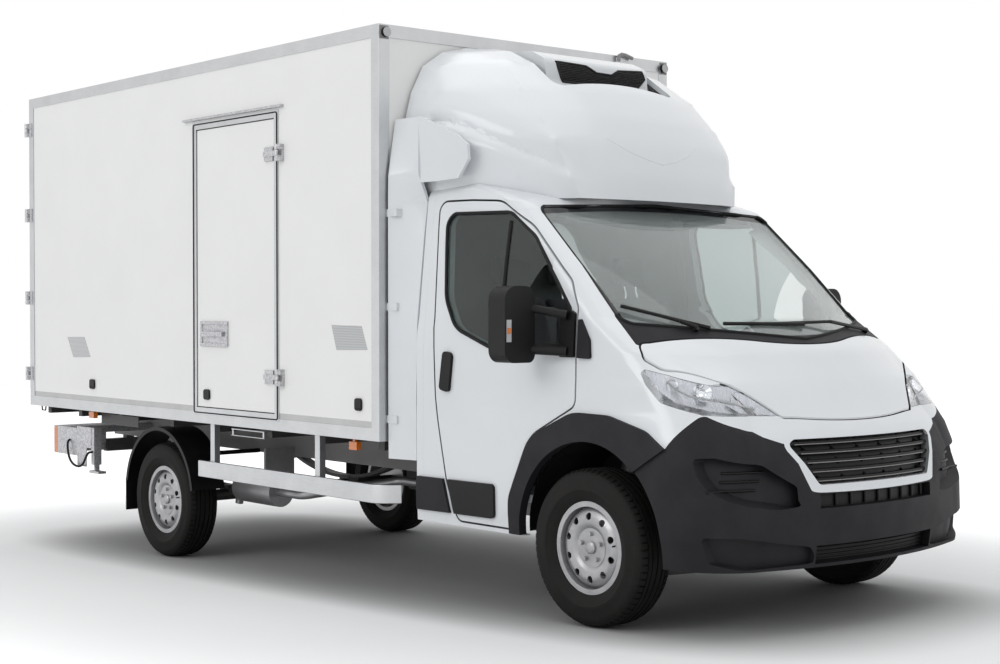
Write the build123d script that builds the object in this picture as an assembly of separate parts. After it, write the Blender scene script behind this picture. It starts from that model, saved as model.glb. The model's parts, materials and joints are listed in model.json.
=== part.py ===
from build123d import *
import math
import os

# Refrigerated truck: a front-wheel-drive chassis cab with an insulated box body and a condensing unit above the cab.
# Millimetres. +X forward, +Y to the truck's left, +Z up.
# The body frame stands level, with its origin on the ground under the front axle.
# At the end everything sprung is tipped nose-down about the front hubs, as the unladen truck stands.

# Running gear
WHEELBASE = 4035
FRONT_WHEEL_Y = 905
REAR_WHEEL_Y = 895
TYRE_RADIUS = 372
TYRE_WIDTH = 225
RIM_SEAT_RADIUS = 203
RIM_FLANGE_RADIUS = 219
RIM_HALF_WIDTH = 84
RIM_WALL = 9
WHEEL_OFFSET = 66
BOLT_CIRCLE_RADIUS = 65
BOLT_COUNT = 5
VENT_COUNT = 10
VENT_RADIUS = 17
VENT_CIRCLE_RADIUS = 148
SPINDLE_RADIUS = 25
BEARING_GAP = 0.05
PIN_RADIUS = 14
RUNNING_GAP = 8
SEAT_GAP = 0.3
RAKE = 1.927

# Steering axis, left side: lower ball joint and strut top
KINGPIN_LOW = (0, 820, 235)
KINGPIN_TOP = (0, 653, 832)

# Cab
CAB_REAR_X = -1290
CAB_WALL = 55
DOOR_GAP = 10
FLOOR_TOP = 580
FLOOR_HALF = 930
ROOF_SEAM_Z = 1985
NOSE_SEAM_X = 560
FLOOR_THICKNESS = 40
SILL_BOTTOM = 380
FIREWALL_X = 230
FIREWALL_THICKNESS = 40
GLASS_THICKNESS = 5
GLASS_SINK = 5
GLASS_GAP = 0.5
CORNER_BULGE = 0.16
ARCH_CENTRE = (10, 400)
ARCH_RADIUS = 472

# Plan outline of the cab at one height: nose centre x, screen corner x and y, flank start x and y, rear y
CAB_SECTIONS = [
    # z, nose_x, corner_x, corner_y, flank_x, flank_y, rear_y
    (330, 925, 820, 700, 520, 985, 1000),
    (480, 946, 830, 730, 540, 1006, 1006),
    (640, 946, 820, 730, 540, 1012, 1008),
    (800, 915, 790, 720, 520, 1012, 1009),
    (920, 868, 745, 690, 480, 1000, 1010),
    (1010, 790, 690, 640, 450, 975, 1008),
    (1150, 690, 570, 690, 330, 968, 1009),
    (1290, 572, 330, 850, 170, 968, 1008),
    (1450, 310, 80, 866, -60, 962, 1001),
    (1700, -52, -180, 864, -330, 940, 977),
    (2000, -484, -520, 850, -660, 905, 938),
    (2260, -858, -880, 830, -1000, 868, 895),
]

# Roof: crown over the cab, one row for each station along X
ROOF_SECTIONS = [
    # x, shoulder_y, shoulder_z, edge_y, edge_z, crown_z
    (-1400, 931, 2048, 862, 2140, 2225),
    (-950, 931, 2040, 862, 2136, 2215),
    (-620, 925, 1975, 858, 2045, 2100),
    (-300, 915, 1870, 845, 1925, 1965),
]

# Cab door seen from the side: x, z, corner radius
DOOR_OUTLINE = [
    (-1195, 2056, 60),
    (-946, 2053, 0),
    (-720, 2040, 200),
    (-470, 1907, 300),
    (-167, 1629, 120),
    (-97, 1500, 60),
    (-92, 1030, 60),
    (-388, 870, 160),
    (-541, 560, 160),
    (-541, 400, 10),
    (-955, 400, 60),
    (-1045, 600, 300),
    (-1140, 1020, 400),
]

# Side window opening: x, z, corner radius
WINDOW_OUTLINE = [
    (-1120, 1985, 70),
    (-640, 1975, 160),
    (-440, 1845, 200),
    (-150, 1490, 50),
    (-150, 1320, 30),
    (-720, 1300, 60),
    (-980, 1390, 160),
    (-1075, 1540, 200),
]

# Outlines of the front: flares, bumper and headlamps are x and z, the screen and grille y and z, the cowl x and y
FLARE_OUTLINE = [
    (-541, 385, 0),
    (-541, 560, 160),
    (-388, 870, 160),
    (-105, 1004, 200),
    (130, 1000, 200),
    (388, 941, 200),
    (510, 868, 0),
    (338, 763, 0),
    (0, 600, 0),
    (-440, 385, 0),
]
FLARE_PROUD = 16
FLARE_DEPTH = 30
ARCH_INNER_Y = 560
LINER = 5
BUMPER_OUTLINE = [
    (330, 250, 0),
    (330, 758, 0),
    (502, 866, 30),
    (604, 1020, 20),
    (709, 960, 60),
    (835, 865, 60),
    (893, 668, 20),
    (1000, 655, 0),
    (1000, 250, 0),
]
HEADLAMP_OUTLINE = [
    (292, 1226, 15),
    (410, 1196, 0),
    (640, 1120, 0),
    (775, 1002, 10),
    (604, 1018, 0),
    (434, 1070, 60),
    (345, 1150, 60),
]
LAMP_INNER_Y = 440
SCREEN_OUTLINE = [
    (-838, 2000, 45),
    (0, 2034, 4000),
    (838, 2000, 45),
    (872, 1425, 45),
    (0, 1345, 4000),
    (-872, 1425, 45),
]
COWL_OUTLINE = [
    (590, 0, 900),
    (245, 915, 20),
    (60, 880, 0),
    (440, 0, 0),
    (60, -880, 0),
    (245, -915, 20),
]
GRILLE_OUTLINE = [
    (-530, 885, 20),
    (-490, 905, 30),
    (490, 905, 30),
    (530, 885, 20),
    (405, 700, 30),
    (-405, 700, 30),
]
FOG_RECESS = [
    (628, 832, 15),
    (700, 836, 0),
    (800, 800, 40),
    (868, 700, 60),
    (884, 612, 10),
    (850, 598, 40),
    (760, 650, 60),
    (690, 700, 60),
    (655, 755, 40),
]
FOG_DEPTH = 36
LOW_RECESS = [
    (676, 488, 20),
    (800, 486, 60),
    (892, 430, 20),
    (892, 350, 20),
    (790, 340, 40),
    (690, 372, 20),
]
LOW_DEPTH = 26
RECESS_INNER_Y = 440
COVER_RADIUS = 38
MIRROR_BASE_OUTLINE = [(-200, 1262, 10), (-104, 1262, 5), (-108, 1470, 10), (-135, 1485, 10), (-200, 1480, 10)]
SAIL_OUTLINE = [(-80, 1260, 5), (6, 1257, 12), (-4, 1345, 20), (-80, 1462, 8)]
HANDLE_OUTLINE = [(-1092, 1075, 20), (-1015, 1060, 20), (-990, 1262, 25), (-1062, 1275, 25)]
DOOR_STRIP_OUTLINE = [(-968, 442, 0), (-652, 446, 25), (-652, 618, 25), (-1022, 614, 0)]
REAR_STRIP_OUTLINE = [(-1280, 438, 10), (-1005, 442, 0), (-1058, 614, 0), (-1280, 612, 10)]
GRILLE_SLATS = 5
GRILLE_TRIM = 28
GRILLE_SINK = 12
SLAT_DEPTH = 22
SLAT_HEIGHT = 14
GRILLE_BACK = 8
# Half width, bottom and top z
LOWER_SLOT = (415, 596, 660)
LOWER_GRILLE = (430, 345, 430)
OUTER_Y = 1100
INNER_Y = 700
BONNET_LOW_Z = 940

# Bonnet seen from above: x, y, corner radius
BONNET_OUTLINE = [
    (748, 482, 40),
    (640, 600, 150),
    (400, 900, 120),
    (300, 935, 40),
    (235, 905, 30),
    (575, 0, 900),
    (235, -905, 30),
    (300, -935, 40),
    (400, -900, 120),
    (640, -600, 150),
    (748, -482, 40),
    (868, 0, 1500),
]
BONNET_SKIN = 6
BONNET_THICKNESS = 30
BONNET_FRAME_INSET = 34
# Hinge axes in the level body frame: x and distance from the middle, or x and z for the bonnet
SIDE_DOOR_AXIS = (-2455, 1125)
REAR_DOOR_AXIS = (-5818, 1112)

# Box body
BOX_FRONT_X = -1499
BOX_LENGTH = 4300
BOX_WIDTH = 2200
BOX_BOTTOM_Z = 780
BOX_HEIGHT = 2225
BOX_WALL = 60
BOX_ROOF = 80
BOX_FLOOR = 100
LOAD_FLOOR = 12
REAR_FRAME_DEPTH = 70
REAR_POST = 70
REAR_DOOR_THICKNESS = 60
PROFILE_LEG = 70
PROFILE_SKIN = 4

# Side door of the box, on the truck's right: rear and front x, bottom and top z
SIDE_DOOR_REAR_X = -3448
SIDE_DOOR_FRONT_X = -2476
SIDE_DOOR_BOTTOM_Z = 833
SIDE_DOOR_TOP_Z = 2635
SIDE_DOOR_FRAME = 44
SIDE_DOOR_PROUD = 6

# Chassis
RAIL_Y = 430
RAIL_WIDTH = 60
RAIL_HEIGHT = 150
RAIL_TOP_Z = 690
RAIL_FRONT_DROP = 160
RAIL_REAR_X = -5720


HUB_RADIUS = 62
TOWER_HALF = 70
TOWER_INNER_Y = 565
HUB_INNER = -4
DISC_RADIUS = 140
DISC_THICKNESS = 26
BOLT_RADIUS = 11
SPRING_Y = 490
SPRING_WIDTH = 70
SPRING_HALF = 640
SPRING_EYE_Z = 560
SPRING_LOW_Z = 425
TOW_PCD = 160
TOW_HOLE = 8
TOW_HOLES = 4
TOW_PLATE = 12
WHEEL_CENTRE = (-250, 400, 1235)
STEERING_RADIUS = 185
MIRROR_ROOT_Y = 985
MIRROR_Y = 1165
MIRROR_WIDTH = 190

# Roof deflector, plan outline at each height: nose, nose corner, widest point of the flank's bow, rear edge
DEFLECTOR_REAR_X = -1486
DEFLECTOR_WALL = 12
DEFLECTOR_SECTIONS = [
    # z, nose_x, corner_x, corner_y, bow_x, bow_y, rear_y
    (2050, -426, -486, 579, -900, 816, 872),
    (2160, -440, -520, 620, -900, 850, 900),
    (2350, -510, -600, 660, -950, 900, 950),
    (2500, -600, -725, 665, -1070, 890, 935),
    (2650, -740, -870, 650, -1170, 840, 895),
    (2800, -950, -1060, 570, -1290, 720, 815),
    (2890, -1150, -1240, 450, -1380, 590, 680),
    (2930, -1310, -1370, 300, -1440, 420, 510),
]
NOTCH_REAR_Y = 285
NOTCH_MIDDLE_X = -1290
NOTCH_MIDDLE_Y = 402
NOTCH_FRONT_X = -810
NOTCH_FRONT_Y = 450
NOTCH_LOW_Z = 2560

# Side fairing: y of its front and rear edges at each height
FAIRING_FRONT_X = -1296
FAIRING_GAP = 14
FAIRING_WALL = 18
FAIRING_SECTIONS = [
    # z, front_y, rear_y
    (690, 1006, 1048),
    (1020, 1008, 1050),
    (1430, 1000, 1050),
    (1850, 956, 1050),
    (2050, 930, 1050),
    (2200, 992, 1048),
    (2500, 990, 1000),
]
# Side outline of the fairing, and its horn: x, low and high z, and the outer y at each
FAIRING_OUTLINE = [
    (-1496, 694, 10),
    (-1420, 672, 60),
    (-1296, 630, 0),
    (-1296, 2530, 0),
    (-1496, 2545, 10),
]
HORN_SECTIONS = [
    (-1300, 2155, 2505, 978, 992),
    (-1150, 2155, 2450, 972, 985),
    (-1000, 2162, 2385, 962, 975),
    (-925, 2255, 2330, 958, 964),
]
FAIRING_FEET = [900, 1500, 2000]
FAIRING_CLEARANCE = 2
UNIT_FRONT_X = -965
UNIT_HALF_WIDTH = 385

HINGE_HEIGHT = 96
HINGE_BARREL = 13
HINGE_PIN = 6
HINGE_GAP = 2
HINGE_SWEEP = 36
SIDE_HINGE_Z = [1090, 2385]
REAR_HINGE_Z = [1010, 1560, 2160, 2780]
# Lock on the side door: rear and front x, bottom and top z
SIDE_LOCK = (-3353, -3036, 1256, 1410)
LOCK_BAR_Y = 130
LOCK_BAR_RADIUS = 13
LOCK_GUIDE_Z = [960, 1850, 2760]
LOCK_HANDLE_Z = 1380

# Wipers: pivot, elbow of the arm, blade start and end, each as y and z on the screen
WIPERS = [
    ((-590, 1392), (-650, 1416), (-838, 1496), (-520, 1392)),
    ((720, 1368), (330, 1408), (-420, 1412), (100, 1406)),
]

# Below the box
GUARD_LOW_Z = 439
GUARD_HIGH_Z = 540
GUARD_Y = 1062
GUARD_POSTS = [-3324, -2174]
MUDGUARD_ARC = ((-4486, 331), (-4046, 712), (-3606, 331))
MUDGUARD_WALL = 6
MUDGUARD_Y = (785, 1022)
FLAP_LOW_Z = 130
LAMP_REAR_X = -5624
LAMP_LENGTH = 64
LAMP_LOW_Z = 440
LAMP_HIGH_Z = 632
UNDERRUN_X = -5600
LEAD_RADIUS = 8
LEAD_POINTS = [
    (-5365, -1000, 545),
    (-5365, -1024, 545),
    (-5340, -1024, 420),
    (-5250, -1024, 368),
    (-5130, -1024, 372),
    (-5060, -1024, 455),
    (-5028, -1024, 480),
    (-5028, -996.3, 480),
]
# Orange side markers: x and z of their middles
SIDE_MARKERS = [(-4882, 751), (-1777, 740)]
SILENCER = (-3580, -3140, 655, 335)
SILENCER_RADIUS = 92
PIPE_RADIUS = 26
TANK = (-2735, -1665, 20, 380, 345)

REAR_DOOR_GAP = 6
SIDE_DOOR_GAP = 6
CROSS_MEMBERS = [-1700, -2700, -3500, -4500, -5600]
BOX_BEARERS = [-1612, -2174, -2730, -3324, -3900, -4560, -5200, -5690]
BEARER_HALF_WIDTH = 1000
BEARER_LOW_Z = 722
CAB_MOUNTS = [-1150, -500, 60]
CRADLE_X = 370
ENGINE_LOW_Z = 400
ENGINE_REAR_X = 300


def block(x0, x1, y0, y1, z0, z1):
    """Box between two corners."""
    return Pos((x0 + x1) / 2, (y0 + y1) / 2, (z0 + z1) / 2) * Box(abs(x1 - x0), abs(y1 - y0), abs(z1 - z0))


def rod(start, end, radius):
    """Cylinder between two points."""
    a = Vector(*start)
    b = Vector(*end)
    plane = Plane(origin=a, z_dir=b - a)
    return plane * Cylinder(radius, (b - a).length, align=(Align.CENTER, Align.CENTER, Align.MIN))


def rounded(points, place):
    """Closed wire through (u, v, radius) corners, each corner rounded, put in space by place(u, v)."""
    count = len(points)
    corners = []
    for index in range(count):
        here = Vector(points[index][0], points[index][1])
        before = Vector(points[index - 1][0], points[index - 1][1])
        after = Vector(points[(index + 1) % count][0], points[(index + 1) % count][1])
        radius = points[index][2] if len(points[index]) > 2 else 0
        to_before = (before - here).normalized()
        to_after = (after - here).normalized()
        half = math.radians(to_before.get_angle(to_after)) / 2
        if radius <= 0 or half > math.radians(89.9):
            corners.append((here, None, here))
            continue
        cut = radius / math.tan(half)
        bisector = (to_before + to_after).normalized()
        middle = here + bisector * (radius / math.sin(half) - radius)
        corners.append((here + to_before * cut, middle, here + to_after * cut))
    edges = []
    for index in range(count):
        entry, middle, leave = corners[index]
        following = corners[(index + 1) % count][0]
        if middle is not None:
            edges.append(ThreePointArc(place(entry.X, entry.Y), place(middle.X, middle.Y), place(leave.X, leave.Y)))
        if (following - leave).length > 0.01:
            edges.append(Line(place(leave.X, leave.Y), place(following.X, following.Y)))
    return Wire(edges)


def side_slab(points, y0, y1):
    """Solid whose outline is drawn in X and Z and which reaches from y0 to y1."""
    wire = rounded(points, lambda u, v: (u, y0, v))
    return Solid.extrude(Face(wire), Vector(0, y1 - y0, 0))


def plan_slab(points, z0, z1):
    """Solid whose outline is drawn in X and Y and which reaches from z0 to z1."""
    wire = rounded(points, lambda u, v: (u, v, z0))
    return Solid.extrude(Face(wire), Vector(0, 0, z1 - z0))


def front_slab(points, x0, x1):
    """Solid whose outline is drawn in Y and Z and which reaches from x0 to x1."""
    wire = rounded(points, lambda u, v: (x0, u, v))
    return Solid.extrude(Face(wire), Vector(x1 - x0, 0, 0))


def turned(points, centre):
    """Solid of revolution about an axis along Y through centre; points are radius and y."""
    wire = Wire.make_polygon([(centre[0] + r, centre[1] + y, centre[2]) for r, y in points], close=True)
    return Solid.revolve(Face(wire), 360, Axis(centre, (0, 1, 0)))


def mirrored(shape):
    """The same shape on the truck's other side."""
    return mirror(shape, about=Plane.XZ)


def both(shape):
    """A shape and its mirror image, as one group of solids."""
    return Compound(children=solids_of(shape) + solids_of(mirrored(shape)))


def solids_of(*shapes):
    """Every solid of the given shapes."""
    found = []
    for shape in shapes:
        if isinstance(shape, (list, tuple)):
            found.extend(solids_of(*shape))
        else:
            found.extend(shape.solids())
    return found


def group(*shapes):
    """Solids that stay apart, in one node."""
    return Compound(children=solids_of(*shapes))


def fuse(*shapes):
    """Union of shapes."""
    parts = solids_of(*shapes)
    result = parts[0]
    for part in parts[1:]:
        result = result + part
    return result


def plan_outline(z, nose_x, corner_x, corner_y, flank_x, flank_y, rear_x, rear_y, bulge):
    """Closed plan outline: rear edge, flanks, rounded corners and a bowed nose."""
    def corner(side):
        start = Vector(corner_x, side * corner_y)
        end = Vector(flank_x, side * flank_y)
        chord = end - start
        outward = Vector(-chord.Y, chord.X).normalized() * (-side)
        middle = (start + end) / 2 + outward * chord.length * bulge
        return [(start.X, start.Y, z), (middle.X, middle.Y, z), (end.X, end.Y, z)]

    right = corner(-1)
    left = corner(1)
    edges = [
        Line((rear_x, rear_y, z), (rear_x, -rear_y, z)),
        Line((rear_x, -rear_y, z), right[2]),
        ThreePointArc(right[2], right[1], right[0]),
        ThreePointArc(right[0], (nose_x, 0, z), left[0]),
        ThreePointArc(left[0], left[1], left[2]),
        Line(left[2], (rear_x, rear_y, z)),
    ]
    return Wire(edges)


def cab_hull(inset, rear_inset=0):
    """Outer form of the cab, or a smaller one inside it."""
    wires = []
    for z, nose_x, corner_x, corner_y, flank_x, flank_y, rear_y in CAB_SECTIONS:
        slope = 1.7 if z > 1290 else 1.2
        wires.append(plan_outline(
            z, nose_x - inset * slope, corner_x - inset * slope, corner_y - inset,
            flank_x - inset, flank_y - inset, CAB_REAR_X + rear_inset, rear_y - inset, CORNER_BULGE))
    body = Solid.make_loft(wires, ruled=True)
    roofs = []
    for x, shoulder_y, shoulder_z, edge_y, edge_z, crown_z in ROOF_SECTIONS:
        low = 200
        roofs.append(Wire([
            Line((x, -1200, low), (x, 1200, low)),
            Line((x, 1200, low), (x, shoulder_y - inset + 60, shoulder_z - 600)),
            Line((x, shoulder_y - inset + 60, shoulder_z - 600), (x, shoulder_y - inset, shoulder_z - inset)),
            ThreePointArc(
                (x, shoulder_y - inset, shoulder_z - inset),
                (x, (shoulder_y + edge_y) / 2 - inset + 14, (shoulder_z + edge_z) / 2 - inset + 12),
                (x, edge_y - inset, edge_z - inset)),
            ThreePointArc(
                (x, edge_y - inset, edge_z - inset), (x, 0, crown_z - inset), (x, -edge_y + inset, edge_z - inset)),
            ThreePointArc(
                (x, -edge_y + inset, edge_z - inset),
                (x, -(shoulder_y + edge_y) / 2 + inset - 14, (shoulder_z + edge_z) / 2 - inset + 12),
                (x, -shoulder_y + inset, shoulder_z - inset)),
            Line((x, -shoulder_y + inset, shoulder_z - inset), (x, -shoulder_y + inset - 60, shoulder_z - 600)),
            Line((x, -shoulder_y + inset - 60, shoulder_z - 600), (x, -1200, low)),
        ]))
    roof = Solid.make_loft(roofs, ruled=True)
    forward = block(-300, 1200, -1200, 1200, 200, 3000)
    return body & (roof + forward)


def offset_slab(points, y0, y1, growth):
    """Side slab whose outline is grown or shrunk by a distance."""
    wire = rounded(points, lambda u, v: (u, y0, v)).offset_2d(growth)
    return Solid.extrude(Face(wire), Vector(0, y1 - y0, 0))


def largest(shape):
    """The biggest solid of a shape."""
    return max(shape.solids(), key=lambda solid: solid.volume)


def arch_cylinder(radius, y0, y1):
    """Cylinder along Y around the front wheel arch's centre."""
    return rod((ARCH_CENTRE[0], y0, ARCH_CENTRE[1]), (ARCH_CENTRE[0], y1, ARCH_CENTRE[1]), radius)


def nose_skin(outer, inner):
    """Thin skin that follows the nose of the cab."""
    front = block(600, 1000, -700, 700, 320, 1000)
    return (cab_hull(outer) - cab_hull(inner)) & front


def cab_parts():
    """Every piece cut from the cab's wall."""
    hull = cab_hull(0)
    inner = cab_hull(CAB_WALL, CAB_WALL)
    wall = hull - inner
    glass_wall = cab_hull(GLASS_SINK) - cab_hull(GLASS_SINK + GLASS_THICKNESS)

    door_hole = side_slab(DOOR_OUTLINE, -OUTER_Y, -INNER_Y)
    door_prism = offset_slab(DOOR_OUTLINE, -OUTER_Y, -INNER_Y, -DOOR_GAP)
    window_hole = side_slab(WINDOW_OUTLINE, -OUTER_Y, -INNER_Y)
    window_prism = offset_slab(WINDOW_OUTLINE, -OUTER_Y, -INNER_Y, -GLASS_GAP)
    flare_hole = side_slab(FLARE_OUTLINE, -OUTER_Y, -ARCH_INNER_Y)
    trim_wire = rounded(GRILLE_OUTLINE, lambda u, v: (700, u, v)).offset_2d(GRILLE_TRIM)
    trim_prism = Solid.extrude(Face(trim_wire), Vector(300, 0, 0))
    bumper_prism = side_slab(BUMPER_OUTLINE, -OUTER_Y, OUTER_Y) - trim_prism
    lamp_prism = side_slab(HEADLAMP_OUTLINE, -OUTER_Y, -LAMP_INNER_Y)
    bonnet_hole = plan_slab(BONNET_OUTLINE, BONNET_LOW_Z, 1500)
    cowl_prism = plan_slab(COWL_OUTLINE, 1180, 1500)
    screen_hole = front_slab(SCREEN_OUTLINE, -700, 800)
    arch = arch_cylinder(ARCH_RADIUS, -OUTER_Y, -ARCH_INNER_Y)
    grille_hole = front_slab(GRILLE_OUTLINE, 700, 1000)
    below_sill = block(-1400, -300, -OUTER_Y, OUTER_Y, 200, SILL_BOTTOM)

    pieces = {}
    door = (wall & door_prism) - window_hole - flare_hole
    pieces["door_right_panel"] = largest(door)
    pieces["door_right_glass"] = largest(glass_wall & window_prism)
    pieces["windscreen"] = largest(glass_wall & screen_hole)
    layers = []
    for depth, inset in ((BONNET_SKIN, DOOR_GAP), (BONNET_THICKNESS, DOOR_GAP + BONNET_FRAME_INSET)):
        bonnet_wire = rounded(BONNET_OUTLINE, lambda u, v: (u, v, BONNET_LOW_Z)).offset_2d(-inset)
        bonnet_prism = Solid.extrude(Face(bonnet_wire), Vector(0, 0, 560))
        layers.append(((hull - cab_hull(depth)) & bonnet_prism) - screen_hole)
    pieces["bonnet_panel"] = largest(fuse(*layers))
    pieces["cowl_panel"] = largest((wall & cowl_prism) - bonnet_hole - screen_hole)
    pieces["headlamps"] = both(largest((wall & lamp_prism) - bonnet_hole))

    bumper = (wall & bumper_prism) - arch - mirrored(arch) - lamp_prism - mirrored(lamp_prism)
    for half_width, low, high in (LOWER_SLOT, LOWER_GRILLE):
        bumper = bumper - block(700, 1000, -half_width, half_width, low, high)
    bumper = bumper - flare_hole - mirrored(flare_hole)
    for outline, depth in ((FOG_RECESS, FOG_DEPTH), (LOW_RECESS, LOW_DEPTH)):
        hollow = (hull - cab_hull(depth)) & side_slab(outline, -OUTER_Y, -RECESS_INNER_Y)
        bumper = bumper - hollow - mirrored(hollow)
    cover = rod((672, -765, 423), (716, -823, 423), COVER_RADIUS)
    bumper = fuse(largest(bumper), cover, mirrored(cover))
    pieces["front_bumper"] = largest(bumper)

    slat_band = nose_skin(GRILLE_SINK, GRILLE_SINK + SLAT_DEPTH)
    back_band = nose_skin(GRILLE_SINK + SLAT_DEPTH, GRILLE_SINK + SLAT_DEPTH + GRILLE_BACK)
    opening = front_slab(GRILLE_OUTLINE, 600, 1000)
    backing = back_band & opening
    z_low = GRILLE_OUTLINE[-1][1]
    pitch = (GRILLE_OUTLINE[1][1] - z_low) / GRILLE_SLATS
    for index in range(GRILLE_SLATS):
        z = z_low + pitch * (index + 0.5)
        backing = backing + (slat_band & opening & block(600, 1000, -700, 700, z - SLAT_HEIGHT / 2, z + SLAT_HEIGHT / 2))
    inserts = [backing]
    for half_width, low, high in (LOWER_SLOT, LOWER_GRILLE):
        inserts.append(back_band & block(600, 1000, -half_width, half_width, low, high))
    pieces["grille"] = group(*inserts)

    grown = cab_hull(-FLARE_PROUD)
    base = largest(on_skin(MIRROR_BASE_OUTLINE, hull, grown))
    arms = door_mirror() - hull
    handle = largest(on_skin(HANDLE_OUTLINE, hull, grown))
    strip = largest(on_skin(DOOR_STRIP_OUTLINE, hull, grown))
    pieces["door_right_mirror_and_trim"] = group(base + arms, handle, strip)
    sail = largest(on_skin(SAIL_OUTLINE, hull, grown))
    rear_strip = largest(on_skin(REAR_STRIP_OUTLINE, hull, grown))
    flare = ((grown - cab_hull(FLARE_DEPTH)) & flare_hole) - arch
    pieces["wheel_arch_flares"] = group(both(largest(flare)), both(rear_strip), both(sail))
    liner = arch_cylinder(ARCH_RADIUS + LINER, -OUTER_Y, -ARCH_INNER_Y) - arch
    liner = (liner & cab_hull(CAB_WALL + 2)) & block(-600, 600, -OUTER_Y, 0, ARCH_CENTRE[1], 1000)
    cheek = arch_cylinder(ARCH_RADIUS + LINER, -ARCH_INNER_Y, LINER - ARCH_INNER_Y)
    cheek = cheek & block(-600, FIREWALL_X, -OUTER_Y, 0, FLOOR_TOP - FLOOR_THICKNESS, 1000)
    pieces["wheel_arch_liners"] = both(largest(liner) + cheek)

    shell = wall
    for hole in (door_hole, flare_hole, lamp_prism, arch):
        shell = shell - hole - mirrored(hole)
    for hole in (bumper_prism, bonnet_hole, cowl_prism, screen_hole, grille_hole, below_sill):
        shell = shell - hole
    floor_low = FLOOR_TOP - FLOOR_THICKNESS
    floor = inner & block(CAB_REAR_X, FIREWALL_X, -OUTER_Y, OUTER_Y, floor_low, FLOOR_TOP)
    firewall = inner & block(FIREWALL_X, FIREWALL_X + FIREWALL_THICKNESS, -OUTER_Y, OUTER_Y, floor_low, 1290)
    shell = shell - block(CAB_REAR_X - 10, CAB_REAR_X + CAB_WALL + 10, -OUTER_Y + 200, OUTER_Y - 200, 200, floor_low)
    room = arch_cylinder(ARCH_RADIUS + LINER, -OUTER_Y, 10 - ARCH_INNER_Y)
    shell = shell + ((floor + firewall) - room - mirrored(room))
    cab = group(*[solid for solid in shell.solids() if solid.volume > 2e5])
    seam = CAB_REAR_X + CAB_WALL
    gap = SEAT_GAP
    regions = [
        (CAB_REAR_X - 50, seam, OUTER_Y, 200, 2400),
        (seam + gap, FIREWALL_X - gap, FLOOR_HALF, floor_low, FLOOR_TOP),
        (FIREWALL_X, FIREWALL_X + FIREWALL_THICKNESS, FLOOR_HALF, 200, 1290),
        (seam + gap, 300, OUTER_Y, ROOF_SEAM_Z, 2400),
        (NOSE_SEAM_X, 1100, OUTER_Y, 200, 1500),
    ]
    panels = []
    rest = cab
    for x0, x1, half, z0, z1 in regions:
        panels.extend(solids_of(cab & block(x0, x1, -half, half, z0, z1)))
        rest = rest - block(x0 - gap, x1 + gap, -half - gap, half + gap, z0 - gap, z1 + gap)
    panels.extend(solids_of(rest))
    pieces["cab_shell"] = group(*[solid for solid in panels if solid.volume > 1e5])
    return pieces


# Running gear

def wheel(side, x, y):
    """Steel wheel with its hub, and its tyre, about an axis along Y; side is 1 on the left and -1 on the right."""
    centre = (x, 0, TYRE_RADIUS)

    def spun(points):
        return turned([(r, y + side * out) for r, out in points], centre)

    barrel = RIM_SEAT_RADIUS - RIM_WALL
    half = RIM_HALF_WIDTH
    bore = SPINDLE_RADIUS + BEARING_GAP
    rim = spun([
        (barrel, -half), (RIM_FLANGE_RADIUS, -half), (RIM_FLANGE_RADIUS, 9 - half), (RIM_SEAT_RADIUS, 14 - half),
        (RIM_SEAT_RADIUS, half - 14), (RIM_FLANGE_RADIUS, half - 9), (RIM_FLANGE_RADIUS, half), (barrel, half)])
    face = WHEEL_OFFSET
    rim = rim + spun([
        (20, face), (92, face), (100, face + 6), (112, face + 12), (150, face + 14), (177, face), (barrel + 2, 40),
        (barrel + 2, 30), (172, face - 8), (149, face + 7), (114, face + 5), (104, face), (95, face - 6),
        (20, face - 6)])
    rim = rim + spun([
        (bore, HUB_INNER - DISC_THICKNESS), (DISC_RADIUS, HUB_INNER - DISC_THICKNESS), (DISC_RADIUS, HUB_INNER),
        (HUB_RADIUS, HUB_INNER), (HUB_RADIUS, face), (30, face), (30, face + 8), (22, face + 14), (0, face + 16),
        (0, face - 12), (bore, face - 12)])
    holes = []
    for index in range(VENT_COUNT):
        angle = 2 * math.pi * (index + 0.5) / VENT_COUNT
        px = x + VENT_CIRCLE_RADIUS * math.cos(angle)
        pz = TYRE_RADIUS + VENT_CIRCLE_RADIUS * math.sin(angle)
        holes.append(rod((px, y + side * 30, pz), (px, y + side * (half + 15), pz), VENT_RADIUS))
    for hole in holes:
        rim = rim - hole
    for index in range(BOLT_COUNT):
        angle = 2 * math.pi * (index + 0.25) / BOLT_COUNT
        px = x + BOLT_CIRCLE_RADIUS * math.cos(angle)
        pz = TYRE_RADIUS + BOLT_CIRCLE_RADIUS * math.sin(angle)
        rim = rim + rod((px, y + side * (face - 2), pz), (px, y + side * (face + 14), pz), BOLT_RADIUS)
    tread = TYRE_WIDTH / 2
    tyre = spun([
        (RIM_SEAT_RADIUS, half - 14), (RIM_FLANGE_RADIUS + 1, half - 9), (RIM_FLANGE_RADIUS + 2, half + 2),
        (RIM_FLANGE_RADIUS + 14, half + 10),
        (250, half + 20), (290, tread), (325, tread - 2), (352, tread - 12), (TYRE_RADIUS - 6, tread - 28),
        (TYRE_RADIUS, tread - 52), (TYRE_RADIUS, 52 - tread), (TYRE_RADIUS - 6, 28 - tread), (352, 12 - tread),
        (325, 2 - tread), (290, -tread), (250, -half - 20), (RIM_FLANGE_RADIUS + 14, -half - 10),
        (RIM_FLANGE_RADIUS + 2, -2 - half), (RIM_FLANGE_RADIUS + 1, 9 - half), (RIM_SEAT_RADIUS, 14 - half),
    ])
    return rim, tyre


def along_kingpin(height):
    """Point of the left steering axis at a height."""
    share = (height - KINGPIN_LOW[2]) / (KINGPIN_TOP[2] - KINGPIN_LOW[2])
    return tuple(low + share * (top - low) for low, top in zip(KINGPIN_LOW, KINGPIN_TOP))


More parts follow.
